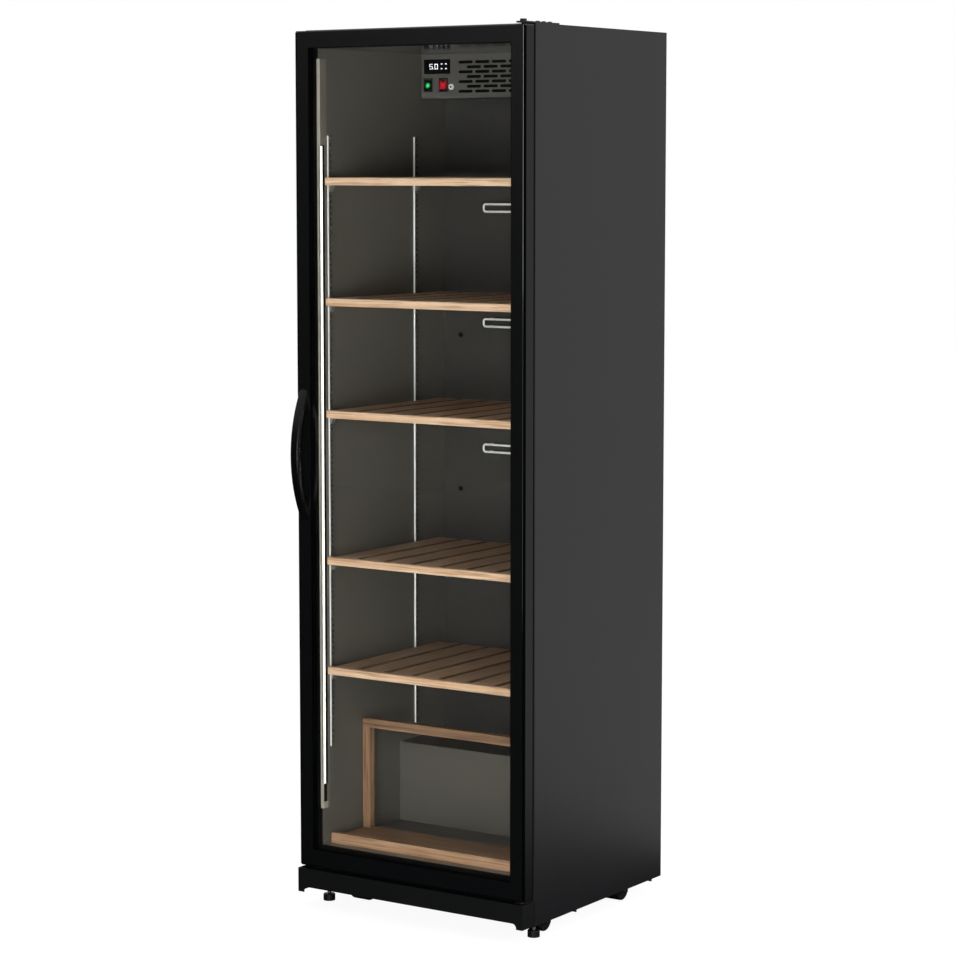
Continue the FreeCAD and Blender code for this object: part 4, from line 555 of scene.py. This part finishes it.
class Mesh:
    """A mesh under construction that becomes one finished object at the origin."""

    def __init__(self, name: str) -> None:
        """Start empty, under the name of the finished piece."""
        self.name = name
        self.form = bmesh.new()

    def block(self, across: Span, back: Span, up: Span, edge: float = 0.0) -> None:
        """Add a box.

        Args:
            across: Where it starts and stops across.
            back: The same to the back.
            up: The same upwards.
            edge: Width of the bevel on every edge.
        """
        low, high = (Vector(corner) for corner in zip(across, back, up))
        size, centre = high - low, (low + high) / 2
        made = bmesh.ops.create_cube(self.form, size=1.0)["verts"]
        bmesh.ops.scale(self.form, vec=size, verts=made)
        bmesh.ops.translate(self.form, vec=centre, verts=made)
        if edge:
            edges = list({e for v in made for e in v.link_edges})
            bmesh.ops.bevel(self.form, geom=edges, offset=edge, affect="EDGES",
                            segments=BEVEL_STEPS, profile=0.5, material=-1)

    def disc(self, centre: Vector, axis: Vector, radius: float, depth: float, tip: float = 1.0,
             sides: int = 24, spin: float = 0.0) -> None:
        """Add a round or many-sided bar about a centre.

        Args:
            centre: Its middle.
            axis: Direction from its foot to its tip.
            radius: Radius at the foot.
            depth: Length along the axis.
            tip: Radius at the tip, as a share of the foot's.
            sides: Number of sides.
            spin: Turn about its own axis, in degrees.
        """
        turn = Axis.UP.value.rotation_difference(axis.normalized()).to_matrix().to_4x4()
        turn = turn @ Matrix.Rotation(math.radians(spin), 4, "Z")
        bmesh.ops.create_cone(self.form, cap_ends=True, segments=sides, radius1=radius, radius2=radius * tip,
                              depth=depth, matrix=Matrix.Translation(centre) @ turn)

    def cross(self, centre: Vector, axis: Axis, arm: float, width: float, depth: float) -> None:
        """Add the cross recess of a screw, as two thin bars across an axis.

        Args:
            centre: Middle of the cross.
            axis: Axis of the screw.
            arm: Length of each arm from the middle.
            width: Width of the arms.
            depth: Thickness along the axis.
        """
        first, second = [way.value for way in Axis if way is not axis]
        for along, aside in ((first, second), (second, first)):
            half = along * arm + aside * (width / 2) + axis.value * (depth / 2)
            self.block(*zip(centre - half, centre + half))

    def turned(self, profile: Iterable[Span], centre: Vector, steps: int = 40) -> None:
        """Spin a profile of radius and height about an upright axis.

        Args:
            profile: Radius and height of each point.
            centre: Point on the axis at height zero.
            steps: Number of steps in the full turn.
        """
        points = [self.form.verts.new(centre + Vector((radius, 0, height))) for radius, height in profile]
        edges = [self.form.edges.new(pair) for pair in zip(points, points[1:])]
        bmesh.ops.spin(self.form, geom=points + edges, cent=centre, axis=Axis.UP.value, angle=math.tau,
                       steps=steps, use_merge=True)

    def done(self, finish: Finish, body: str, slot: str) -> None:
        """Finish the piece and let it ride on its body.

        Args:
            finish: Its surface.
            body: CAD body that it rides on.
            slot: Material slot of the record; not used.
        """
        bmesh.ops.remove_doubles(self.form, verts=self.form.verts, dist=MERGE_DISTANCE)
        bmesh.ops.recalc_face_normals(self.form, faces=self.form.faces)
        piece = self.piece(finish.material())
        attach(piece, body)
        log.info("made %s with %d faces", self.name, len(piece.data.polygons))

    def piece(self, paint: bpy.types.Material) -> bpy.types.Object:
        """Put the mesh, with its material, into the scene and return the object."""
        data = bpy.data.meshes.new(self.name)
        self.form.to_mesh(data)
        self.form.free()
        data.materials.append(paint)
        return put(self.name, data)


@dataclass
class SubAssembly:
    """CAD nodes that belong together, and the fine pieces on them."""

    nodes: dict[str, bpy.types.Object]

    def wear(self, finish: Finish, *names: str) -> None:
        """Give a finish to CAD nodes.

        Args:
            finish: Their surface.
            *names: Names of the nodes.
        """
        for name in names:
            data = self.nodes[name].data
            data.materials.clear()
            data.materials.append(finish.material())
            log.info("dressed %s in %s", name, finish.name)

    def dress(self) -> None:
        """Dress the CAD nodes."""
        raise NotImplementedError

    def build(self) -> None:
        """Make the fine pieces."""
        raise NotImplementedError


@dataclass
class Case(SubAssembly):
    """Outer sheet metal, feet, rollers and hinge fittings."""

    thread_pitch: float = 1.5 * MM
    thread_depth: float = 0.7 * MM
    thread_root: float = 0.1 * MM
    stem_radius: float = 4.0 * MM
    foot_height: float = 15.0 * MM
    thread_end: float = 2.0 * MM
    recess_arm: float = 2.4 * MM
    recess_width: float = 1.1 * MM
    recess_depth: float = 0.1 * MM
    hinge_screw_x: float = 283.0 * MM
    hinge_screw_ys: tuple[float, ...] = (-214.0 * MM, -191.0 * MM, -168.0 * MM)
    plinth_screw_y: float = -267.6 * MM
    plinth_screw_z: float = 58.0 * MM
    head_radius: float = 4.5 * MM
    head_height: float = 2.4 * MM
    head_tip: float = 0.72
    back_screw_inset: float = 9.0 * MM
    back_screw_rows: int = 7
    seal_width: float = 4.0 * MM
    seal_depth: float = 1.4 * MM
    seal_end: float = 4.0 * MM

    def dress(self) -> None:
        """Dress the case."""
        self.wear(CASE, "side_panel_left", "side_panel_right", "top_panel")
        self.wear(PLINTH, "plinth", "hinge_plate_top", "hinge_bracket_bottom")
        self.wear(BLACK_STEEL, "base_pan", "roller_brackets", "plinth_brackets", "case_screws")
        self.wear(GALVANISED, "back_panel", "machine_bay_panel")
        self.wear(ZINC, "roller_axles")
        self.wear(NYLON, "foot_left", "foot_right", "roller_front_left", "roller_front_right",
                  "roller_rear_left", "roller_rear_right")
        self.wear(FOAM, "insulation_foam")

    def build(self) -> None:
        """Make the threads of the feet, the screws, and the seals between plinth and side panels."""
        for hand in ("left", "right"):
            low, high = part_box(f"foot_{hand}")
            pan_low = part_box("base_pan")[0].z
            self.thread(hand, Vector(((low.x + high.x) / 2, (low.y + high.y) / 2, 0.0)), low.z, pan_low)
        self.screws()
        low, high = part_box("plinth")
        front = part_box("side_panel_left")[0].y
        seals = Mesh("plinth_seals")
        for across in ((low.x, low.x + self.seal_width), (high.x - self.seal_width, high.x)):
            seals.block(across, (front - self.seal_depth, front),
                        (low.z + self.seal_end, high.z - self.seal_end))
        seals.done(RUBBER, CABINET, "rubber_black")

    def thread(self, hand: str, centre: Vector, low: float, high: float) -> None:
        """Make the thread on the free length of a foot's stem.

        Args:
            hand: Side of the foot.
            centre: Axis of the stem, at floor height.
            low: Underside of the foot.
            high: Underside of the base pan.
        """
        start, stop = low + self.foot_height, high - self.thread_end
        profile = []
        for turn in range(int((stop - start) / self.thread_pitch)):
            height = start + turn * self.thread_pitch
            profile.append((self.stem_radius + self.thread_root, height))
            profile.append((self.stem_radius + self.thread_depth, height + self.thread_pitch / 2))
        mesh = Mesh(f"foot_{hand}_thread")
        mesh.turned(profile, centre)
        mesh.done(ZINC, f"{hand}_foot", "zinc_steel")

    def screws(self) -> None:
        """Make the screws of the back panel, and a cross of painted shade for the recess in every screw that
        shows.
        """
        low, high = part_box("back_panel")
        heads, recesses = Mesh("back_screws"), Mesh("screw_recess_shade")
        sizes = (self.recess_arm, self.recess_width, self.recess_depth)
        step = (high.z - low.z - self.back_screw_inset * 2) / (self.back_screw_rows - 1)
        for side in SIDES:
            for row in range(self.back_screw_rows):
                seat = Vector(((high.x - self.back_screw_inset) * side, high.y,
                               low.z + self.back_screw_inset + step * row))
                heads.disc(seat + Vector((0, self.head_height / 2, 0)), Axis.BACK.value,
                           self.head_radius, self.head_height, self.head_tip)
                recesses.cross(seat + Vector((0, self.head_height, 0)), Axis.BACK, *sizes)
        screws_low, screws_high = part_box("case_screws")
        for y in self.hinge_screw_ys:
            recesses.cross(Vector((self.hinge_screw_x, y, screws_high.z)), Axis.UP, *sizes)
        for x in (screws_low.x, screws_high.x):
            recesses.cross(Vector((x, self.plinth_screw_y, self.plinth_screw_z)), Axis.ACROSS, *sizes)
        heads.done(ZINC, CABINET, "zinc_steel")
        recesses.done(BLACK_AND_SHADE, CABINET, "black_plastic")


@dataclass
class Door(SubAssembly):
    """Framed glass door with its handle."""

    trim_width: float = 5.0 * MM
    trim_wrap: float = 3.0 * MM
    trim_proud: float = 0.15 * MM
    trim_end: float = 3.0 * MM
    cap_proud: float = 0.2 * MM
    beading_radius: float = 1.3 * MM
    beading_from_side: float = 3.9 * MM
    beading_proud: float = 0.2 * MM
    beading_sides: int = 3
    beading_spin: float = -52.7
    stile_width: float = 34.0 * MM
    top_rail: float = 36.0 * MM
    bottom_rail: float = 38.0 * MM
    seal_thickness: float = 1.0 * MM
    seal_set_back: float = 0.4 * MM
    seal_depth: float = 3.5 * MM

    def dress(self) -> None:
        """Dress the door."""
        self.wear(DOOR, "door_stiles", "door_rails")
        self.wear(HANDLE, "handle")
        self.wear(GLASS, "glass_panes")
        self.wear(SPACER, "glass_spacer")
        self.wear(BEAD, "glazing_beads")
        self.wear(GASKET, "door_gasket")
        self.wear(ZINC, "corner_keys")

    def build(self) -> None:
        """Make the trims, caps and beading on the outer sides of the stiles, and the glazing seal."""
        low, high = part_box("door_stiles")
        trim_back = low.y + self.trim_width
        trim, cap, beading = Mesh("door_edge_trim"), Mesh("door_edge_cap"), Mesh("door_edge_beading")
        up = low.z + self.trim_end, high.z - self.trim_end
        for x, inward in ((low.x, 1), (high.x, -1)):
            across = sorted((x - inward * self.trim_proud, x + inward * self.trim_wrap))
            trim.block(across, (low.y - self.trim_proud, trim_back), up)
            cap.block((x - self.cap_proud, x + self.cap_proud), (trim_back, high.y), up)
        centre = Vector((high.x - self.beading_from_side, low.y - self.beading_proud, (low.z + high.z) / 2))
        beading.disc(centre, Axis.UP.value, self.beading_radius, high.z - low.z - 2 * self.trim_end,
                     sides=self.beading_sides, spin=self.beading_spin)
        beading.done(BEADING, "door", "door_frame_black")
        trim.done(TRIM, "door", "rubber_black")
        cap.done(CAP, "door", "door_frame_black")
        self.glazing_seal()

    def glazing_seal(self) -> None:
        """Make the black seal in the corner between the glass and the frame's lip."""
        low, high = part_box("door_stiles")
        left, right = low.x + self.stile_width, high.x - self.stile_width
        foot, head = low.z + self.bottom_rail, high.z - self.top_rail
        front, thick = low.y + self.seal_set_back, self.seal_thickness
        seal = Mesh("glazing_seal")
        between = left + thick, right - thick
        for across, up in (((left, left + thick), (foot, head)), ((right - thick, right), (foot, head)),
                           (between, (foot, foot + thick)), (between, (head - thick, head))):
            seal.block(across, (front, front + self.seal_depth), up)
        seal.done(TRIM, "door", "rubber_black")


@dataclass
class ColdRoom(SubAssembly):
    """Inner walls, lamp, shelf supports, shelves and the rack on the floor."""

    plug_radius: float = 5.5 * MM
    plug_depth: float = 2.0 * MM
    plug_from_left: float = 45.0 * MM
    plug_heights: tuple[float, ...] = (1.253, 0.894)
    strip_width: float = 14.0 * MM
    strip_depth: float = 4.0 * MM
    slot_width: float = 5.0 * MM
    slot_back: float = 0.5 * MM
    slot_end: float = 6.0 * MM
    rail_depth: float = 15.0 * MM
    lit_from: float = 0.3 * MM
    lit_width: float = 6.9 * MM
    groove_width: float = 7.4 * MM
    groove_skin: float = 0.6 * MM
    groove_gap: float = 0.4 * MM
    groove_top: float = 2.5 * MM
    lamp_cap_height: float = 14.6 * MM
    lamp_cap_skin: float = 1.2 * MM
    lamp_cap_edge: float = 0.4 * MM
    shelf_count: int = 5
    post_width: float = 18.0 * MM
    rack_rail_height: float = 20.0 * MM

    def dress(self) -> None:
        """Dress the cold room."""
        self.wear(LINER, "liner_sides", "liner_floor", "liner_step")
        self.wear(REAR_WALL, "liner_back")
        self.wear(CEILING, "liner_ceiling")
        # Painted light on the front face of the lamp profile
        self.wear(replace(LAMP_BODY, edges=(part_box("led_profile")[0].y,)), "led_profile")
        half = self.lit_width / 2
        self.wear(replace(LENS, band=(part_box("led_lens")[0].y + self.lit_from + half, half)), "led_lens")
        low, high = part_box("pilasters")
        edges = (low.y, high.y - self.strip_width)
        # Painted highlight on the uprights' front edges, and painted shade in their slots
        self.wear(replace(STRIP, edges=edges, pocket=high.x - self.strip_depth + self.slot_back), "pilasters")
        self.wear(CLIP, "shelf_clips")
        self.wear(GUARD, "wire_guards")
        rail_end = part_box("shelf_1")[0].y + self.rail_depth
        self.wear(replace(SHELF_OAK, rail_end=rail_end),
                  *(f"shelf_{number + 1}" for number in range(self.shelf_count)))
        self.wear(RACK_OAK, "rack_tray")
        _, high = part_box("rack_frame")
        self.wear(replace(POST_OAK, post_from=high.x - self.post_width,
                          post_high=high.z - self.rack_rail_height), "rack_frame")

    def lamp_channel_shade(self) -> None:
        """Make dark sheets of painted shade in the groove beside the lit lens, above its top and at its unlit
        lower end, and the cap that closes it.
        """
        low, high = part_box("led_lens")
        foot, face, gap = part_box("led_profile")[0].z, high.x, self.groove_gap
        start = low.y + self.lit_from
        stop = start + self.lit_width
        groove = Mesh("lamp_channel_shade")
        cap_top, top = foot + self.lamp_cap_height, high.z + self.groove_top
        for back, up in (((stop, stop + self.groove_width), (low.z, top)),
                         ((start, stop - gap), (high.z, top)),
                         ((start, stop + self.groove_width / 2), (cap_top + gap, low.z - gap))):
            groove.block((face, face + self.groove_skin), back, up)
        groove.done(BLACK_AND_SHADE, CABINET, "black_plastic")
        cap = Mesh("lamp_end_cap")
        cap.block((face, face + self.lamp_cap_skin), (start, stop + self.groove_width), (foot, cap_top),
                  self.lamp_cap_edge)
        cap.done(LAMP_CAP, CABINET, "liner_plastic")

    def build(self) -> None:
        """Make the painted shade of the lamp's channel, the plugs in the rear wall and the painted shade
        behind the uprights' slots.
        """
        self.lamp_channel_shade()
        low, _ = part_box("liner_back")
        plugs = Mesh("wall_plugs")
        for height in self.plug_heights:
            centre = Vector((low.x + self.plug_from_left, low.y - self.plug_depth / 2, height))
            plugs.disc(centre, Axis.BACK.value, self.plug_radius, self.plug_depth)
        plugs.done(BLACK_AND_SHADE, CABINET, "black_plastic")

        low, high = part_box("pilasters")
        # Dark sheets behind the uprights' slots: painted shade
        backs = Mesh("slot_shade_backs")
        half, up = self.slot_width / 2, (low.z + self.slot_end, high.z - self.slot_end)
        for x in (low.x, high.x - self.slot_back):
            for middle in (low.y + self.strip_width / 2, high.y - self.strip_width / 2):
                backs.block((x, x + self.slot_back), (middle - half, middle + half), up)
        backs.done(BLACK_AND_SHADE, CABINET, "black_plastic")


class Segment(Enum):
    """Bars of a figure, as start and end in shares of its width and height."""

    TOP = ((0, 1), (1, 1))
    UPPER_LEFT = ((0, 0.5), (0, 1))
    UPPER_RIGHT = ((1, 0.5), (1, 1))
    MIDDLE = ((0, 0.5), (1, 0.5))
    LOWER_LEFT = ((0, 0), (0, 0.5))
    LOWER_RIGHT = ((1, 0), (1, 0.5))
    BOTTOM = ((0, 0), (1, 0))


FIVE = (Segment.TOP, Segment.UPPER_LEFT, Segment.MIDDLE, Segment.LOWER_RIGHT, Segment.BOTTOM)
ZERO = tuple(segment for segment in Segment if segment is not Segment.MIDDLE)


@dataclass
class ColdUnit(SubAssembly):
    """Cold unit under the ceiling, with its display and switches."""

    figure_width: float = 7.4 * MM
    figure_height: float = 10.6 * MM
    bar_width: float = 1.2 * MM
    proud: float = 0.3 * MM
    figure_starts: tuple[float, ...] = (16.2 * MM, 30.4 * MM)
    figure_low: float = 11.4 * MM
    point_at: float = 27.0 * MM
    dash_columns: tuple[float, ...] = (49.0 * MM, 61.0 * MM)
    dash_rows: tuple[float, ...] = (10.6 * MM, 21.2 * MM)
    dash_size: Span = (4.0 * MM, 2.2 * MM)
    button_eye_shade: float = 2.4 * MM
    lamp_drop: float = 1.5 * MM
    mat_from_left: float = 98.0 * MM
    mat_end: float = 12.0 * MM
    mat_play: float = 0.4 * MM
    mat_depth: float = 1.0 * MM

    def dress(self) -> None:
        """Dress the cold unit."""
        self.wear(FASCIA, "evaporator_fascia", "evaporator_tray")
        self.wear(SCREEN, "display_module")
        self.wear(BEZEL, "switch_bezels")
        self.wear(BLACK_FIN, "evaporator_coil", "fan_frame", "fan_blade")
        for finish, name in ((GREEN, "rocker_green"), (RED, "rocker_red")):
            low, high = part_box(name)
            centre = (low + high) / 2
            self.wear(replace(finish, lamp=(centre.x, centre.z - self.lamp_drop)), name)
        self.wear(BUTTON, "push_button")

    def build(self) -> None:
        """Make the lit figures of the display, the painted shade at the button's centre and the filter mats.
        """
        low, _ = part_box("display_module")
        figures = Mesh("display_figures")
        for left, foot, right, head in self.lit_patches():
            figures.block((low.x + left, low.x + right), (low.y - self.proud, low.y),
                          (low.z + foot, low.z + head))
        figures.done(DIGIT, CABINET, "lens_white")

        low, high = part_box("push_button")
        # Painted shade: a dark disc for the recess at the button's centre
        eye = Mesh("button_eye_shade")
        eye.disc(Vector(((low.x + high.x) / 2, low.y, (low.z + high.z) / 2)), Axis.BACK.value,
                 self.button_eye_shade, self.proud)
        eye.done(BLACK_AND_SHADE, "button", "black_plastic")
        self.filter_mats()

    def filter_mats(self) -> None:
        """Make the black filter mats behind the slots, on both sides of the fan."""
        low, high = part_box("evaporator_fascia")
        fan_low, fan_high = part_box("fan_frame")
        mats = Mesh("filter_mats")
        face = fan_low.y + self.mat_play
        for across in ((low.x + self.mat_from_left, fan_low.x - self.mat_play),
                       (fan_high.x + self.mat_play, high.x - self.mat_end)):
            mats.block(across, (face, face + self.mat_depth), (low.z + self.mat_end, high.z - self.mat_end))
        mats.done(BLACK_FIN, CABINET, "black_plastic")

    def lit_patches(self) -> list[tuple[float, ...]]:
        """List what is lit: the bars of two figures, a point and four dashes.

        Returns:
            Left, foot, right and head of each patch, from the display's lowest corner.
        """
        half, patches = self.bar_width / 2, []
        wide, tall, foot = self.figure_width, self.figure_height, self.figure_low
        for start, bars in zip(self.figure_starts, (FIVE, ZERO)):
            for (x0, z0), (x1, z1) in (bar.value for bar in bars):
                patches.append((start + x0 * wide - half, foot + z0 * tall - half,
                                start + x1 * wide + half, foot + z1 * tall + half))
        blocks = [(self.point_at, foot - half, self.bar_width, self.bar_width)]
        blocks += [(column, row, *self.dash_size) for column in self.dash_columns for row in self.dash_rows]
        for across, up, width, height in blocks:
            patches.append((across - width / 2, up, across + width / 2, up + height))
        return patches


@dataclass
class Machine(SubAssembly):
    """Compressor, condenser and mains inlet at the back."""

    pin_width: float = 2.0 * MM
    pin_height: float = 8.0 * MM
    pin_spacing: float = 11.0 * MM
    pin_length: float = 16.0 * MM
    pin_seat: float = 2.0 * MM
    pin_edge: float = 0.4 * MM

    def dress(self) -> None:
        """Dress the machine bay and the back."""
        self.wear(BLACK_STEEL, "compressor", "condenser")
        self.wear(RUBBER, "compressor_mounts")
        self.wear(BEZEL, "mains_inlet")
        self.wear(COPPER, "refrigerant_pipes")

    def build(self) -> None:
        """Make the pins of the mains inlet."""
        low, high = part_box("mains_inlet")
        centre = (low + high) / 2
        mesh = Mesh("inlet_pins")
        start, half = low.y + self.pin_seat, self.pin_width / 2
        for step in (-1, 0, 1):
            x = centre.x + step * self.pin_spacing
            mesh.block((x - half, x + half), (start, start + self.pin_length),
                       (centre.z - self.pin_height / 2, centre.z + self.pin_height / 2), self.pin_edge)
        mesh.done(ZINC, CABINET, "zinc_steel")


@dataclass(frozen=True)
class Softbox:
    """A square lamp: where it hangs, what it points at, the length of its sides and its power in watts."""

    name: str
    place: Triple
    target: Triple
    size: float
    power: float

    def build(self) -> None:
        """Hang the lamp."""
        data = bpy.data.lights.new(self.name, "AREA")
        data.shape = "SQUARE"
        data.size = self.size
        data.energy = self.power
        lamp = put(self.name, data)
        lamp.location = self.place
        lamp.rotation_mode = "QUATERNION"
        lamp.rotation_quaternion = (Vector(self.target) - Vector(self.place)).to_track_quat("-Z", "Y")


@dataclass
class Studio:
    """Floor, light and camera."""

    camera_place: Triple = (3.500, -5.193, 1.6434)
    camera_yaw: float = 34.06
    camera_pitch: float = -6.29
    camera_level: float = 90.0
    camera_reach: float = 100.0
    lens: float = 106.76
    sensor: float = 36.0
    floor_size: float = 40.0
    floor_colour: str = "#f2f2f2"
    floor_glow: float = 0.85
    floor_white: float = 1.09
    ambient: float = 0.55
    cove_left: float = -12.0
    cove_right: float = 12.0
    cove_front: float = -7.0
    cove_back: float = 0.6
    screen_right: float = 6.0
    screen_height: float = 2.3
    wing_right: float = -4.7
    wing_height: float = 3.6
    cove_lift: float = 0.002
    cove_colour: str = "#060606"
    lamps: tuple[Softbox, ...] = (
        Softbox("side_softbox", (4.5, 0.6, 2.4), (0.3, 0.1, 1.0), 2.6, 90.0),
        Softbox("front_softbox", (2.0, -4.4, 0.4), (0.0, 0.0, 0.4), 2.0, 187.0),
        Softbox("top_softbox", (0.0, 0.3, 4.6), (0.0, 0.2, 1.0), 2.4, 70.0))

    def build(self) -> None:
        """Make the stage."""
        self.floor()
        self.cove()
        self.world()
        for lamp in self.lamps:
            lamp.build()
        self.camera()
        bpy.context.scene.view_settings.view_transform = "Standard"

    def sheet(self, name: str, paint: bpy.types.Material,
              panels: Iterable[tuple[Vector, Vector, Vector]]) -> bpy.types.Object:
        """Make a flat piece of the stage.

        Args:
            name: Its name.
            paint: Its material.
            panels: Centre and two half sides of each rectangle.

        Returns:
            The object.
        """
        mesh = Mesh(name)
        for centre, first, second in panels:
            made = bmesh.ops.create_grid(mesh.form, x_segments=1, y_segments=1, size=1.0)["verts"]
            turn = Matrix((first, second, first.cross(second).normalized())).transposed()
            bmesh.ops.transform(mesh.form, matrix=Matrix.Translation(centre) @ turn.to_4x4(), verts=made)
        cloth = mesh.piece(paint)
        return cloth

    def floor(self) -> None:
        """Make a pale floor that stays white to the eye and keeps a soft shadow."""
        paint = bpy.data.materials.new("floor_paint")
        tree = fresh_tree(paint)
        matt = add_node(tree, "BsdfDiffuse", {"Color": linear(self.floor_colour)})
        white = add_node(tree, "Emission", {"Color": linear(WHITE), "Strength": self.floor_white})
        share = compute(tree, "MULTIPLY", self.seen(tree), self.floor_glow)
        both = add_node(tree, "MixShader", {0: share, 1: matt.outputs[0], 2: white.outputs[0]})
        add_node(tree, "OutputMaterial", {"Surface": both.outputs[0]})
        half = self.floor_size / 2
        self.sheet("floor", paint, [(Vector(), Vector((half, 0, 0)), Vector((0, half, 0)))])

    def seen(self, tree: Tree) -> Socket:
        """Tell what is seen directly, mirrored or through glass from what only lights a surface.

        Args:
            tree: Nodes of a material or of the world.

        Returns:
            One for what is seen, else zero.
        """
        rays = add_node(tree, "LightPath", {}).outputs
        either = compute(tree, "MAXIMUM", rays["Is Camera Ray"], rays["Is Glossy Ray"])
        every = compute(tree, "MAXIMUM", either, rays["Is Transmission Ray"])
        return compute(tree, "MULTIPLY", every, compute(tree, "LESS_THAN", rays["Diffuse Depth"], ON))

    def cove(self) -> None:
        """Make a black cloth, on the floor and upright in front, that only what is mirrored shows."""
        cloth = bpy.data.materials.new("cove_cloth")
        tree = fresh_tree(cloth)
        rays = add_node(tree, "LightPath", {}).outputs
        mirrored = compute(tree, "GREATER_THAN", rays["Glossy Depth"], ON)
        clear = add_node(tree, "BsdfTransparent", {})
        black = add_node(tree, "BsdfDiffuse", {"Color": linear(self.cove_colour)})
        both = add_node(tree, "MixShader", {0: mirrored, 1: clear.outputs[0], 2: black.outputs[0]})
        add_node(tree, "OutputMaterial", {"Surface": both.outputs[0]})
        across, deep = (self.cove_left + self.cove_right) / 2, (self.cove_front + self.cove_back) / 2
        ground = (Vector((across, deep, self.cove_lift)), Vector((self.cove_right - across, 0, 0)),
                  Vector((0, self.cove_back - deep, 0)))
        uprights = []
        for right, height in ((self.screen_right, self.screen_height), (self.wing_right, self.wing_height)):
            middle = (self.cove_left + right) / 2
            uprights.append((Vector((middle, self.cove_front, height / 2)), Vector((right - middle, 0, 0)),
                             Vector((0, 0, height / 2))))
        cove = self.sheet("black_cove", cloth, [ground, *uprights])
        cove.visible_camera = False
        cove.visible_diffuse = False
        cove.visible_shadow = False

    def world(self) -> None:
        """Make a white backdrop with soft light all round."""
        world = bpy.data.worlds.new("studio")
        tree = fresh_tree(world)
        strength = remap(tree, self.seen(tree), target=(self.ambient, 1.0))
        backdrop = add_node(tree, "Background", {"Color": linear(WHITE), "Strength": strength})
        add_node(tree, "OutputWorld", {"Surface": backdrop.outputs[0]})
        bpy.context.scene.world = world

    def camera(self) -> None:
        """Add the camera at the viewing angle of the photograph."""
        data = bpy.data.cameras.new("camera")
        data.sensor_width = self.sensor
        data.lens = self.lens
        data.clip_end = self.camera_reach
        camera = put("camera", data)
        camera.location = self.camera_place
        tilt = self.camera_level + self.camera_pitch
        camera.rotation_euler = (math.radians(tilt), 0.0, math.radians(self.camera_yaw))
        bpy.context.scene.camera = camera


def clear_scene() -> None:
    """Remove what a new file starts with."""
    for thing in list(bpy.data.objects):
        bpy.data.objects.remove(thing)


def main() -> None:
    """Dress the frame, add the fine pieces and set the stage."""
    logging.basicConfig(level=logging.INFO)
    clear_scene()
    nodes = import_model()["nodes"]
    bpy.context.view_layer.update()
    for kind in (Case, Door, ColdRoom, ColdUnit, Machine):
        part = kind(nodes)
        part.dress()
        part.build()
    Studio().build()


if __name__ == "__main__":
    main()
